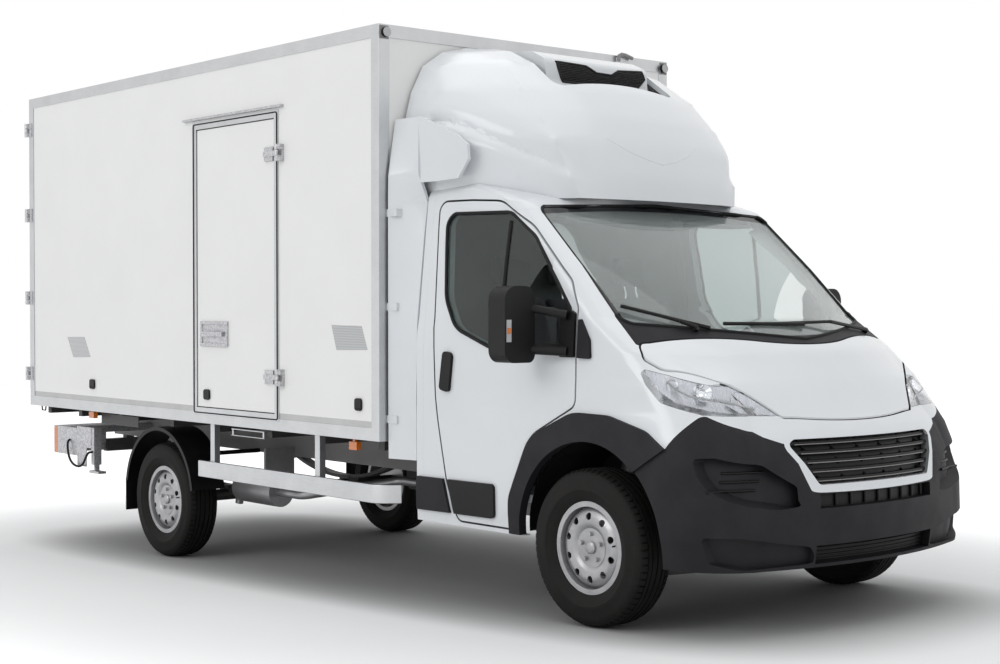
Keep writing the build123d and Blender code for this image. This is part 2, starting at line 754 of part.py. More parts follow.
def knuckle():
    """Left steering knuckle with its spindle, strut and spring, which all turn on the steering axis."""
    axle_point = along_kingpin(TYRE_RADIUS)
    spindle_end = FRONT_WHEEL_Y + WHEEL_OFFSET - 13
    boss_end = FRONT_WHEEL_Y + HUB_INNER - DISC_THICKNESS - RUNNING_GAP
    body = rod(along_kingpin(KINGPIN_LOW[2] + 12), along_kingpin(560), 26)
    body = body + rod(axle_point, (0, spindle_end, TYRE_RADIUS), SPINDLE_RADIUS)
    body = body + rod(axle_point, (0, boss_end, TYRE_RADIUS), 48)
    body = body + rod(along_kingpin(KINGPIN_LOW[2] - 40), along_kingpin(KINGPIN_LOW[2] + 14), PIN_RADIUS)
    body = body + rod(along_kingpin(555), along_kingpin(KINGPIN_TOP[2]), 22)
    body = body + rod(along_kingpin(620), along_kingpin(632), 72)
    body = body + rod(along_kingpin(632), along_kingpin(KINGPIN_TOP[2] - 40), 56)
    body = body + rod(along_kingpin(KINGPIN_TOP[2] - 2), along_kingpin(KINGPIN_TOP[2] + 28), PIN_RADIUS)
    arm_root = along_kingpin(300)
    body = body + rod(arm_root, (-125, arm_root[1] - 35, 300), 14)
    return body


def front_suspension():
    """Subframe, lower arms with their ball-joint eyes, strut tops, steering rack and drive shafts."""
    low_eye = along_kingpin(KINGPIN_LOW[2] - 14)
    top_eye = along_kingpin(KINGPIN_TOP[2] + 16)
    arm = side_slab([(-260, 215), (190, 215), (190, 245), (-260, 245)], 330, 430)
    fork = plan_slab([(-230, 430, 0), (-26, low_eye[1], 20), (26, low_eye[1], 20), (150, 430, 0)],
                     low_eye[2] - 12, low_eye[2] + 12)
    eye = rod(along_kingpin(KINGPIN_LOW[2] - 30), along_kingpin(KINGPIN_LOW[2] + 2), 32)
    eye_bore = rod(along_kingpin(KINGPIN_LOW[2] - 60), along_kingpin(KINGPIN_LOW[2] + 60), PIN_RADIUS + BEARING_GAP)
    low = RAIL_TOP_Z - RAIL_FRONT_DROP
    tower = block(-TOWER_HALF, TOWER_HALF, TOWER_INNER_Y, 735, top_eye[2] - 6, top_eye[2] + 10)
    tower_bore = rod(along_kingpin(KINGPIN_TOP[2] - 60), along_kingpin(KINGPIN_TOP[2] + 60), PIN_RADIUS + BEARING_GAP)
    tower = tower + block(-TOWER_HALF, TOWER_HALF, TOWER_INNER_Y, TOWER_INNER_Y + 25, low - 30, top_eye[2] + 10)
    tower = tower + block(-TOWER_HALF, TOWER_HALF, RAIL_Y + RAIL_WIDTH / 2, TOWER_INNER_Y + 25, low - 30, low)
    arms = fuse(arm, fork, eye) - eye_bore
    tower = tower - tower_bore
    beam = side_slab([(-260, 215), (190, 215), (190, 290), (-260, 290)], -330, 330)
    rack = rod((-150, -330, 330), (-150, 330, 330), 24)
    rack_boots = rod((-150, -430, 330), (-150, 430, 330), 30)
    risers = tipped(block(-260, -200, 400, 460, 232, RAIL_TOP_Z - RAIL_FRONT_DROP - RAIL_HEIGHT))
    return fuse(beam, rack, rack_boots, block(-175, -125, -300, 300, 285, 320), arms, mirrored(arms),
                risers, mirrored(risers)), both(tower)


def rear_axle():
    """Tubular axle with its spindles and two leaf springs."""
    spindle_end = REAR_WHEEL_Y + WHEEL_OFFSET - 13
    boss_end = REAR_WHEEL_Y + HUB_INNER - DISC_THICKNESS - RUNNING_GAP
    axle = rod((-WHEELBASE, -spindle_end, TYRE_RADIUS), (-WHEELBASE, spindle_end, TYRE_RADIUS), SPINDLE_RADIUS)
    axle = axle + rod((-WHEELBASE, -boss_end, TYRE_RADIUS), (-WHEELBASE, boss_end, TYRE_RADIUS), 38)
    for side in (-1, 1):
        y = side * SPRING_Y
        axle = axle + block(-WHEELBASE - 60, -WHEELBASE + 60, y - 40, y + 40, TYRE_RADIUS + 20, SPRING_LOW_Z + 5)
        rear_end = (-WHEELBASE - SPRING_HALF, y, SPRING_EYE_Z)
        front_end = (-WHEELBASE + SPRING_HALF, y, SPRING_EYE_Z)
        arc = ThreePointArc(rear_end, (-WHEELBASE, y, SPRING_LOW_Z), front_end)
        leaf = Plane(origin=arc @ 0, z_dir=arc % 0, x_dir=(0, 1, 0)) * Rectangle(SPRING_WIDTH, 24)
        axle = axle + sweep(leaf, path=arc)
        for x, _, z in (rear_end, front_end):
            axle = axle + rod((x, y - SPRING_WIDTH / 2, z), (x, y + SPRING_WIDTH / 2, z), 26)
            axle = axle + rod((x, y - SPRING_WIDTH / 2 - 20, z), (x, y + SPRING_WIDTH / 2 + 20, z), PIN_RADIUS)
    return axle


def spring_hangers():
    """Brackets on the rails that hold the spring pins, right and left."""
    pieces = []
    outer = SPRING_Y + SPRING_WIDTH / 2 + 24
    for x_ground in (-WHEELBASE - SPRING_HALF, -WHEELBASE + SPRING_HALF):
        x, z = levelled(x_ground, SPRING_EYE_Z)
        top = RAIL_TOP_Z - RAIL_HEIGHT
        cheek = side_slab([(x - 34, z - 26, 20), (x + 34, z - 26, 20), (x + 40, top + 30, 0), (x - 40, top + 30, 0)],
                          SPRING_Y - SPRING_WIDTH / 2 - 14, outer)
        slot = block(x - 60, x + 60, SPRING_Y - SPRING_WIDTH / 2 - 4, SPRING_Y + SPRING_WIDTH / 2 + 4, z - 60, top - 8)
        cheek = cheek - slot - rod((x, 0, z), (x, BOX_WIDTH, z), PIN_RADIUS + BEARING_GAP)
        pieces.append(cheek)
        pieces.append(mirrored(cheek))
    return pieces


def tipped(shape):
    """Shape turned nose-down about the front hubs, from the level body frame to the ground."""
    return shape.rotate(Axis((0, 0, TYRE_RADIUS), (0, 1, 0)), RAKE)


def levelled(x, z):
    """Level body-frame x and z of a point given over the ground."""
    angle = math.radians(RAKE)
    height = z - TYRE_RADIUS
    return (x * math.cos(angle) - height * math.sin(angle), x * math.sin(angle) + height * math.cos(angle) + TYRE_RADIUS)


# Cab furniture

def dashboard():
    """Dashboard with its instrument hood, steering column and wheel in front of the left seat."""
    profile = [(-110, 960, 30), (120, 960, 0), (225, 1200, 0), (190, 1305, 30), (0, 1320, 60), (-110, 1250, 50),
               (-90, 1080, 40)]
    body = side_slab(profile, -890, 890) & cab_hull(CAB_WALL + 5)
    hood = side_slab([(-115, 1240, 10), (60, 1300, 10), (40, 1372, 30), (-60, 1380, 40), (-130, 1320, 20)], 230, 570)
    console = block(-110, 60, -140, 140, FLOOR_TOP, 990)
    column = rod(WHEEL_CENTRE, (60, WHEEL_CENTRE[1], 1060), 34)
    plane = Plane(origin=WHEEL_CENTRE, z_dir=(Vector(*WHEEL_CENTRE) - Vector(60, WHEEL_CENTRE[1], 1060)))
    rim = plane * Torus(STEERING_RADIUS, 15)
    boss = plane * Cylinder(62, 40)
    spokes = plane * Box(2 * STEERING_RADIUS - 20, 44, 16) + plane * Pos(0, 0, 0) * (
        Pos(0, -STEERING_RADIUS / 2, 0) * Box(50, STEERING_RADIUS - 20, 16))
    return fuse(body, hood, console, column, rim, boss, spokes)


def seat(y0, y1, people):
    """Seat between two y places, with a headrest for each person."""
    base = block(-900, -490, y0 + 40, y1 - 40, FLOOR_TOP, 890)
    cushion = side_slab([(-960, 860, 20), (-400, 880, 30), (-390, 990, 50), (-960, 965, 40)], y0, y1)
    back = side_slab([(-870, 930, 10), (-1000, 930, 40), (-1150, 1560, 60), (-1040, 1590, 50)], y0, y1)
    body = fuse(base, cushion, back)
    width = (y1 - y0) / people
    for index in range(people):
        middle = y0 + width * (index + 0.5)
        rest = side_slab([(-1075, 1600, 20), (-1165, 1600, 30), (-1185, 1780, 40), (-1100, 1790, 40)],
                         middle - 120, middle + 120)
        stalk = side_slab([(-1085, 1540, 0), (-1110, 1540, 0), (-1120, 1620, 0), (-1095, 1620, 0)],
                          middle - 60, middle + 60)
        body = fuse(body, rest, stalk)
    return body


def door_mirror():
    """Two arms and the head of the right door mirror."""
    root_y = -MIRROR_ROOT_Y
    upper = rod((-150, root_y, 1462), (-330, -MIRROR_Y + 70, 1500), 22)
    lower = rod((-150, root_y, 1290), (-330, -MIRROR_Y + 70, 1300), 24)
    low = 1235
    high = 1600
    half = MIRROR_WIDTH / 2
    head = front_slab([(-MIRROR_Y - half, low, 60), (-MIRROR_Y - half, high, 70), (-MIRROR_Y + half, high, 60),
                       (-MIRROR_Y + half, low, 40)], -405, -285)
    return fuse(upper, lower, head)


def on_skin(outline, skin, outer):
    """Cover on the right flank with this side outline, from the skin out to a larger form of the cab."""
    return (outer - skin) & side_slab(outline, -OUTER_Y, -INNER_Y)


# Roof deflector, side fairings and condensing unit

def deflector_hull(inset):
    """Outer form of the roof deflector, or a smaller one inside it."""
    wires = []
    for z, nose_x, corner_x, corner_y, bow_x, bow_y, rear_y in DEFLECTOR_SECTIONS:
        outer = [(DEFLECTOR_REAR_X, -rear_y + inset, z), (bow_x - inset, -bow_y + inset, z),
                 (corner_x - inset * 1.3, -corner_y + inset, z), (nose_x - inset * 1.3, 0, z)]
        left = [(x, -y, h) for x, y, h in outer[:3]]
        wires.append(Wire([
            Line(left[0], outer[0]),
            ThreePointArc(outer[0], outer[1], outer[2]),
            ThreePointArc(outer[2], outer[3], left[2]),
            ThreePointArc(left[2], left[1], left[0]),
        ]))
    return Solid.make_loft(wires, ruled=True)


def roof_deflector():
    """Hollow deflector on the cab roof, open to the box behind and cut out above for the condensing unit."""
    outer = deflector_hull(0)
    inner = deflector_hull(DEFLECTOR_WALL)
    shell = outer - Pos(-DEFLECTOR_WALL, 0, -DEFLECTOR_WALL) * inner
    notch = plan_slab([(-1600, -NOTCH_REAR_Y, 0), (-1600, NOTCH_REAR_Y, 0), (NOTCH_MIDDLE_X, NOTCH_MIDDLE_Y, 60),
                       (NOTCH_FRONT_X, NOTCH_FRONT_Y, 60), (NOTCH_FRONT_X, -NOTCH_FRONT_Y, 60),
                       (NOTCH_MIDDLE_X, -NOTCH_MIDDLE_Y, 60)], NOTCH_LOW_Z, 3200)
    shell = shell - notch
    shell = shell - cab_hull(-SEAT_GAP)
    return largest(shell)


def side_fairing():
    """Filler panel between the right cab corner and the box, with a horn beside the deflector and two feet."""
    wires = []
    for z, front_y, rear_y in FAIRING_SECTIONS:
        wires.append(Wire.make_polygon([
            (FAIRING_FRONT_X, -front_y, z), (BOX_FRONT_X + FAIRING_GAP, -rear_y, z),
            (BOX_FRONT_X + FAIRING_GAP, -rear_y + FAIRING_WALL, z), (FAIRING_FRONT_X, -front_y + FAIRING_WALL, z)],
            close=True))
    panel = Solid.make_loft(wires, ruled=True) & side_slab(FAIRING_OUTLINE, -OUTER_Y, -INNER_Y)
    wires = []
    for x, low, high, low_y, high_y in HORN_SECTIONS:
        wires.append(Wire.make_polygon([
            (x, -low_y, low), (x, -high_y, high), (x, -high_y + FAIRING_WALL, high), (x, -low_y + FAIRING_WALL, low)],
            close=True))
    panel = panel + Solid.make_loft(wires, ruled=True)
    for z in FAIRING_FEET:
        panel = panel + block(BOX_FRONT_X, FAIRING_FRONT_X - 120, -1046, -1010, z - 20, z + 20)
    return largest(panel - deflector_hull(-FAIRING_CLEARANCE))


def condensing_unit():
    """Condensing unit on the front wall, above the cab, with its grille, and the evaporator inside."""
    back_x = BOX_FRONT_X - PROFILE_SKIN
    housing = side_slab([(back_x, 2560, 0), (UNIT_FRONT_X + 60, 2600, 40), (UNIT_FRONT_X, 2720, 60),
                         (UNIT_FRONT_X - 10, 2830, 50), (UNIT_FRONT_X - 120, 2880, 60), (back_x, 2900, 0)],
                        -UNIT_HALF_WIDTH, UNIT_HALF_WIDTH)
    evaporator = side_slab([(BOX_FRONT_X - BOX_WALL - PROFILE_SKIN, 2680, 0), (BOX_FRONT_X - 480, 2740, 30),
                            (BOX_FRONT_X - 520, 2910, 20), (BOX_FRONT_X - BOX_WALL - PROFILE_SKIN, 2910, 0)],
                           -480, 480)
    return housing, evaporator


# Insulated box

def side_doorway():
    """Opening of the side door through the right wall."""
    inner_y = BOX_WALL + PROFILE_SKIN - BOX_WIDTH / 2
    return block(SIDE_DOOR_REAR_X, SIDE_DOOR_FRONT_X, -BOX_WIDTH, inner_y, SIDE_DOOR_BOTTOM_Z, SIDE_DOOR_TOP_Z)


def box_body():
    """Panels of the box, its frame and its doors."""
    front = BOX_FRONT_X - PROFILE_SKIN
    rear = BOX_FRONT_X - BOX_LENGTH + PROFILE_SKIN
    panel_rear = rear + REAR_FRAME_DEPTH
    half = BOX_WIDTH / 2 - PROFILE_SKIN
    bottom = BOX_BOTTOM_Z + PROFILE_SKIN
    top = BOX_BOTTOM_Z + BOX_HEIGHT - PROFILE_SKIN
    floor_top = bottom + BOX_FLOOR
    ceiling = top - BOX_ROOF
    pieces = {}
    pieces["box_floor"] = block(panel_rear, front, -half, half, bottom, floor_top)
    pieces["box_roof"] = block(panel_rear, front, -half, half, ceiling, top)
    left = block(panel_rear, front, half - BOX_WALL, half, floor_top, ceiling)
    right = mirrored(left)
    opening = side_doorway()
    end_half = half - BOX_WALL - SEAT_GAP
    end = block(front - BOX_WALL, front, -end_half, end_half, floor_top, ceiling)
    pieces["box_walls"] = group(left, right - opening, end)
    seat = BOX_WALL + SEAT_GAP
    load_area = block(panel_rear + SEAT_GAP, front - seat, -half + seat, half - seat, bottom, floor_top + LOAD_FLOOR)
    pieces["box_floor"] = (pieces["box_floor"] - opening) + load_area
    ring = block(rear, panel_rear, -half, half, bottom, top)
    doorway = block(rear - 10, panel_rear + 10, -half + REAR_POST, half - REAR_POST, floor_top, ceiling)

    gap = REAR_DOOR_GAP
    leaf = block(rear, rear + REAR_DOOR_THICKNESS, gap / 2, half - REAR_POST - gap, floor_top + gap, ceiling - gap)
    pieces["rear_door_left_leaf"] = leaf
    pieces["rear_door_right_leaf"] = mirrored(leaf)

    edge = SIDE_DOOR_FRAME
    jamb = block(SIDE_DOOR_REAR_X, SIDE_DOOR_FRONT_X, -half - SIDE_DOOR_PROUD, -half + BOX_WALL,
                 SIDE_DOOR_BOTTOM_Z, SIDE_DOOR_TOP_Z)
    way = block(SIDE_DOOR_REAR_X + edge, SIDE_DOOR_FRONT_X - edge, -BOX_WIDTH, 0,
                SIDE_DOOR_BOTTOM_Z + edge, SIDE_DOOR_TOP_Z - edge)
    pieces["door_frames"] = group(ring - doorway, jamb - way)
    inset = edge + SIDE_DOOR_GAP
    side_leaf = block(SIDE_DOOR_REAR_X + inset, SIDE_DOOR_FRONT_X - inset, -half, -half + BOX_WALL,
                      SIDE_DOOR_BOTTOM_Z + inset, SIDE_DOOR_TOP_Z - inset)
    pieces["side_door_leaf"] = side_leaf
    return pieces


def barrel_hinge(axis_x, axis_y, z, leaf_strap, frame_strap):
    """Leaf half and frame half of a hinge: three knuckles on one pin, the middle one on the leaf."""
    third = HINGE_HEIGHT / 3
    low = z - HINGE_HEIGHT / 2
    high = z + HINGE_HEIGHT / 2
    inner_low = low + third
    inner_high = high - third

    def knuckle_of(z0, z1):
        return rod((axis_x, axis_y, z0), (axis_x, axis_y, z1), HINGE_BARREL)

    pin = rod((axis_x, axis_y, low), (axis_x, axis_y, high), HINGE_PIN)
    bore = rod((axis_x, axis_y, low), (axis_x, axis_y, high), HINGE_PIN + BEARING_GAP)
    room = rod((axis_x, axis_y, inner_low - HINGE_GAP), (axis_x, axis_y, inner_high + HINGE_GAP), HINGE_SWEEP)
    frame_half = fuse(frame_strap, knuckle_of(low, inner_low - HINGE_GAP), knuckle_of(inner_high + HINGE_GAP, high))
    frame_half = (frame_half - room) + pin
    leaf_half = fuse(leaf_strap, knuckle_of(inner_low, inner_high)) - bore
    return leaf_half, largest(frame_half)


def side_door_fittings():
    """Hinges, lock and drip rail of the side door: what is on the leaf and what is on the wall."""
    x, y = SIDE_DOOR_AXIS
    face = -BOX_WIDTH / 2 + PROFILE_SKIN
    jamb_face = face - SIDE_DOOR_PROUD
    leaf_front = SIDE_DOOR_FRONT_X - SIDE_DOOR_FRAME - SIDE_DOOR_GAP
    leaf_parts = []
    wall_parts = []
    third = HINGE_HEIGHT / 3
    for z in SIDE_HINGE_Z:
        low = z - third / 2
        high = z + third / 2
        pad = block(leaf_front - 92, leaf_front, jamb_face - 5, face, low - 25, high + 25)
        strap = block(leaf_front - 92, x, jamb_face - 13, jamb_face - 5, low, high)
        root = block(x - 14, x, -y, jamb_face - 5, low, high)
        plate = block(x, x + 34, -y - 3, face, z - HINGE_HEIGHT / 2, z + HINGE_HEIGHT / 2)
        leaf_half, wall_half = barrel_hinge(x, -y, z, fuse(pad, strap, root), plate)
        leaf_parts.append(leaf_half)
        wall_parts.append(wall_half)
    x0, x1, z0, z1 = SIDE_LOCK
    lock = block(x0, x1, face - 12, face, z0, z1)
    middle = (z0 + z1) / 2
    lock = lock - block(x0 + 20, x1 - 20, face - 20, face - 5, z0 + 20, z1 - 20)
    bar = block(x0 + 40, x1 - 40, face - 26, face - 14, middle - 14, middle + 14)
    feet = [block(end - 14, end + 14, face - 20, face, middle - 14, middle + 14) for end in (x0 + 60, x1 - 60)]
    leaf_parts.append(fuse(lock, bar, *feet))
    top = SIDE_DOOR_TOP_Z
    drip = side_slab([(SIDE_DOOR_REAR_X - 95, top + 12, 0), (SIDE_DOOR_FRONT_X + 52, top + 12, 0),
                      (SIDE_DOOR_FRONT_X + 52, top + 26, 0), (SIDE_DOOR_REAR_X - 95, top + 26, 0)], face - 24, face)
    wall_parts.append(drip)
    return leaf_parts, wall_parts


def rear_door_fittings():
    """Hinges and lock bar of the left rear door: what is on the leaf and what is on the frame."""
    x, y = REAR_DOOR_AXIS
    rear = BOX_FRONT_X - BOX_LENGTH
    leaf_face = rear + PROFILE_SKIN
    side = BOX_WIDTH / 2
    leaf_edge = side - PROFILE_SKIN - REAR_POST - REAR_DOOR_GAP
    floor_top = BOX_BOTTOM_Z + PROFILE_SKIN + BOX_FLOOR
    ceiling = BOX_BOTTOM_Z + BOX_HEIGHT - PROFILE_SKIN - BOX_ROOF
    third = HINGE_HEIGHT / 3
    leaf_parts = []
    frame_parts = []
    for z in REAR_HINGE_Z:
        pad = block(rear - 5, leaf_face, leaf_edge - 190, leaf_edge - 8, z - third / 2, z + third / 2)
        strap = block(rear - 13, rear - 5, leaf_edge - 190, y, z - third / 2, z + third / 2)
        low = z - HINGE_HEIGHT / 2
        high = z + HINGE_HEIGHT / 2
        plate = block(rear, rear + 50, side, side + 6, low, high) + block(x - 7, rear + 8, side + 1, y, low, high)
        leaf_half, frame_half = barrel_hinge(x, y, z, fuse(pad, strap), plate)
        leaf_parts.append(leaf_half)
        frame_parts.append(frame_half)
    bar = rod((rear - 13, LOCK_BAR_Y, floor_top + 20), (rear - 13, LOCK_BAR_Y, ceiling - 20), LOCK_BAR_RADIUS)
    for z in LOCK_GUIDE_Z:
        bar = bar + block(rear - 13, leaf_face, LOCK_BAR_Y - 22, LOCK_BAR_Y + 22, z - 20, z + 20)
    handle = block(rear - 30, rear - 20, LOCK_BAR_Y - 15, LOCK_BAR_Y + 260, LOCK_HANDLE_Z - 14, LOCK_HANDLE_Z + 14)
    handle = handle + block(rear - 24, rear - 10, LOCK_BAR_Y - 15, LOCK_BAR_Y + 15, LOCK_HANDLE_Z - 20, LOCK_HANDLE_Z + 20)
    leaf_parts.append(fuse(bar, handle))
    return leaf_parts, frame_parts


def edge_profiles():
    """Aluminium angles along the box edges, with corner caps."""
    front = BOX_FRONT_X
    rear = BOX_FRONT_X - BOX_LENGTH
    half = BOX_WIDTH / 2
    bottom = BOX_BOTTOM_Z
    top = BOX_BOTTOM_Z + BOX_HEIGHT
    outer = block(rear, front, -half, half, bottom, top)
    skin = PROFILE_SKIN
    inner = block(rear + skin, front - skin, -half + skin, half - skin, bottom + skin, top - skin)
    shell = outer - inner
    leg = PROFILE_LEG
    for window in (
            block(rear + leg, front - leg, -half - 10, half + 10, bottom + leg, top - leg),
            block(rear - 10, front + 10, -half + leg, half - leg, bottom + leg, top - leg),
            block(rear + leg, front - leg, -half + leg, half - leg, bottom - 10, top + 10)):
        shell = shell - window
    return shell - side_doorway()


# Below the box

def side_guards():
    """Rail and posts of the right side guard; its front end is bent in."""
    rail = plan_slab([(-3460, -GUARD_Y, 0), (-1580, -GUARD_Y, 120), (-1500, -950, 0), (-1520, -935, 0),
                      (-1600, -GUARD_Y + 22, 100), (-3460, -GUARD_Y + 22, 0)], GUARD_LOW_Z, GUARD_HIGH_Z)
    for x in GUARD_POSTS:
        rail = rail + block(x - 25, x + 25, -GUARD_Y + 22, -BEARER_HALF_WIDTH, GUARD_LOW_Z + 12,
                            BOX_BOTTOM_Z + PROFILE_SKIN - 6)
    return rail


def rear_mudguard():
    """Arch over the right rear wheel with its turned edge, its flap and its two stays."""
    start, middle, end = MUDGUARD_ARC
    arc = ThreePointArc((start[0], 0, start[1]), (middle[0], 0, middle[1]), (end[0], 0, end[1]))
    centre = arc.arc_center
    radius = arc.radius
    y_in, y_out = MUDGUARD_Y

    def ring(outer, inner, y0, y1):
        hole = rod((centre.X, -y0 - 5, centre.Z), (centre.X, -y1 + 5, centre.Z), inner)
        return rod((centre.X, -y0, centre.Z), (centre.X, -y1, centre.Z), outer) - hole

    low_z = start[1]
    upper = block(centre.X - 600, centre.X + 600, -1100, -700, low_z, 900)
    arch = ring(radius, radius - MUDGUARD_WALL, y_out, y_in) & upper
    lip = ring(radius, radius - 24, y_out, y_out - 7) & upper
    arch = arch + lip
    x = start[0]
    flap = block(x - 2, x + 8, -y_out, -y_in, FLAP_LOW_Z, low_z + 14)
    body = arch + flap
    for angle in (40, 140):
        px = centre.X + (radius - 4) * math.cos(math.radians(angle))
        pz = centre.Z + (radius - 4) * math.sin(math.radians(angle))
        body = body + rod((px, -RAIL_Y - RAIL_WIDTH / 2, pz), (px, -y_in - 60, pz), 14)
    return body


def lamp_brackets():
    """Bracket that carries the right rear lamp, with its arm to the rail and its galvanised post."""
    skin = 4
    body = block(LAMP_REAR_X + LAMP_LENGTH, -5250, -1000, -1000 + skin, LAMP_LOW_Z, LAMP_HIGH_Z + skin)
    body = body + block(LAMP_REAR_X, -5250, -1000, -620, LAMP_HIGH_Z, LAMP_HIGH_Z + skin)
    body = body + block(LAMP_REAR_X + LAMP_LENGTH, LAMP_REAR_X + LAMP_LENGTH + skin, -1000, -620, LAMP_LOW_Z, LAMP_HIGH_Z)
    body = body + block(-5252, -5040, -1000, -1000 + skin, 505, 650)
    body = body + block(-5252, -5110, -1000, -1000 + skin, 370, 510)
    body = body + block(-5040 - skin, -5000, -996, -940, 390, 650)
    body = body + block(-5090, -4950, -990, -930, 330, 346) + block(-5030, -5010, -985, -950, 340, 395)
    body = body + block(-5250, -5150, -1000, -RAIL_Y - RAIL_WIDTH / 2, 604, 650)
    return body


def rear_lamp():
    """Right rear lamp cluster, seated on its bracket."""
    return side_slab([(LAMP_REAR_X, LAMP_LOW_Z, 12), (LAMP_REAR_X, LAMP_HIGH_Z, 12),
                      (LAMP_REAR_X + LAMP_LENGTH, LAMP_HIGH_Z, 0), (LAMP_REAR_X + LAMP_LENGTH, LAMP_LOW_Z, 0)],
                     -998, -640)


def underrun_bar():
    """Rear cross bar with its two drop plates."""
    rail_low = RAIL_TOP_Z - RAIL_HEIGHT
    bar = block(UNDERRUN_X, UNDERRUN_X + 60, -620, 620, 430, rail_low - 20)
    for side in (-1, 1):
        inner = side * (RAIL_Y - RAIL_WIDTH / 2)
        bar = bar + block(UNDERRUN_X, UNDERRUN_X + 60, inner, inner + side * RAIL_WIDTH, 430, rail_low)
    return bar


def lamp_lead():
    """Lead that hangs from the grommet of the lamp bracket and goes up behind the post."""
    path = FilletPolyline(*LEAD_POINTS, radius=10)
    start = path @ 0
    profile = Plane(origin=start, z_dir=path % 0) * Circle(LEAD_RADIUS)
    lead = sweep(profile, path=path)
    return lead + rod((start.X, -1000, start.Z), (start.X, -1010, start.Z), 20)


def side_markers():
    """Orange side markers under the box edge and round markers on its front top corners, right side."""
    pieces = []
    for x, z in SIDE_MARKERS:
        lamp = block(x - 36, x + 36, -1075, -1045, z - 22, z + 22)
        pieces.append(lamp + block(x - 10, x + 10, -1068, -1050, z, BOX_BOTTOM_Z))
    top = BOX_BOTTOM_Z + BOX_HEIGHT
    pieces.append(rod((BOX_FRONT_X, -BOX_WIDTH / 2 + 40, top - 44), (BOX_FRONT_X + 24, -BOX_WIDTH / 2 + 40, top - 44), 26))
    return pieces


def exhaust():
    """Pipe from the engine under the cab floor, the silencer outside the right rail and its tail."""
    x0, x1, y, z = SILENCER
    path = FilletPolyline((ENGINE_REAR_X - SEAT_GAP, -200, 430), (-2500, -200, 430), (-2900, -y, z), (x1 - 10, -y, z), radius=120)
    pipe = sweep(Plane(origin=path @ 0, z_dir=path % 0) * Circle(PIPE_RADIUS), path=path)
    body = pipe + rod((x0, -y, z), (x1, -y, z), SILENCER_RADIUS)
    tail = FilletPolyline((x0 + 10, -y, z), (x0 - 30, -y, z), (x0 - 60, -y, z - 110), radius=25)
    body = body + sweep(Plane(origin=tail @ 0, z_dir=tail % 0) * Circle(PIPE_RADIUS), path=tail)
    hanger = block(-3310, -3290, -y - 20, -RAIL_Y - RAIL_WIDTH / 2, z + 80, RAIL_TOP_Z - RAIL_HEIGHT + 60)
    return body + hanger


def fuel_tank():
    """Tank between the rails, under the cross members."""
    x0, x1, y0, y1, low = TANK
    return side_slab([(x0, low, 50), (x0, RAIL_TOP_Z - RAIL_HEIGHT + 20, 0), (x1, RAIL_TOP_Z - RAIL_HEIGHT + 20, 0),
                      (x1, low, 50)], y0, y1)


def screen_point(y, z, proud):
    """Point at a distance in front of the screen, where the cab's plan sections bow."""
    lower = max((row for row in CAB_SECTIONS if row[0] <= z), key=lambda row: row[0])
    upper = min((row for row in CAB_SECTIONS if row[0] > z), key=lambda row: row[0])
    share = (z - lower[0]) / (upper[0] - lower[0])
    nose, corner, half = (a + share * (b - a) for a, b in zip(lower[1:4], upper[1:4]))
    rise = nose - corner
    radius = (half * half + rise * rise) / (2 * rise)
    x = nose - radius + math.sqrt(radius * radius - y * y)
    return (x + proud * 0.8, y, z + proud * 0.6)


def wiper(pivot, elbow, start, end):
    """Arm from its pivot over an elbow to the middle of the blade, which lies along the foot of the screen."""
    foot = screen_point(*pivot, -30)
    pivot_point = screen_point(*pivot, 22)
    elbow_point = screen_point(*elbow, 30)
    blade_start = Vector(*screen_point(*start, 16))
    blade_end = Vector(*screen_point(*end, 16))
    body = rod(foot, pivot_point, 15) + rod(pivot_point, elbow_point, 9)
    body = body + rod(elbow_point, tuple((blade_start + blade_end) / 2), 8)
    return body + rod(tuple(blade_start), tuple(blade_end), 9)


# Chassis

def frame_rails():
    """Two rails that drop under the cab, with the cab mounts, spring hangers and the tow plate."""
    drop = RAIL_FRONT_DROP
    top = RAIL_TOP_Z
    low = top - RAIL_HEIGHT
    inner_y = RAIL_Y - RAIL_WIDTH / 2
    outer_y = RAIL_Y + RAIL_WIDTH / 2
    profile = [(RAIL_REAR_X, low, 0), (-1480, low, 0), (-1330, low - drop, 0), (420, low - drop, 0),
               (420, top - drop, 0), (-1300, top - drop, 0), (-1440, top, 0), (RAIL_REAR_X, top, 0)]
    rail = side_slab(profile, inner_y, outer_y)
    for x in CAB_MOUNTS:
        rail = rail + block(x - 40, x + 40, inner_y, outer_y, top - drop, FLOOR_TOP - FLOOR_THICKNESS)
    hangers = spring_hangers()
    plate_x = RAIL_REAR_X - TOW_PLATE
    middle = RAIL_TOP_Z - RAIL_HEIGHT / 2
    plate = block(plate_x, RAIL_REAR_X, -outer_y, outer_y, low, top)
    for index in range(TOW_HOLES):
        angle = 2 * math.pi * (index + 0.5) / TOW_HOLES
        y = TOW_PCD / 2 * math.cos(angle)
        z = middle + TOW_PCD / 2 * math.sin(angle)
        plate = plate - rod((plate_x - 5, y, z), (RAIL_REAR_X + 5, y, z), TOW_HOLE)
    return fuse(rail, *[piece for piece in hangers if piece.center().Y > 0]), plate


def cross_members():
    """Cross members between the rails, and the engine's cradle."""
    inner_y = RAIL_Y - RAIL_WIDTH / 2
    low = RAIL_TOP_Z - RAIL_HEIGHT
    members = [block(x - 35, x + 35, -inner_y, inner_y, low + 20, RAIL_TOP_Z - 20) for x in CROSS_MEMBERS]
    members.append(block(CRADLE_X - 35, CRADLE_X + 35, -inner_y, inner_y, low - RAIL_FRONT_DROP, ENGINE_LOW_Z))
    return members


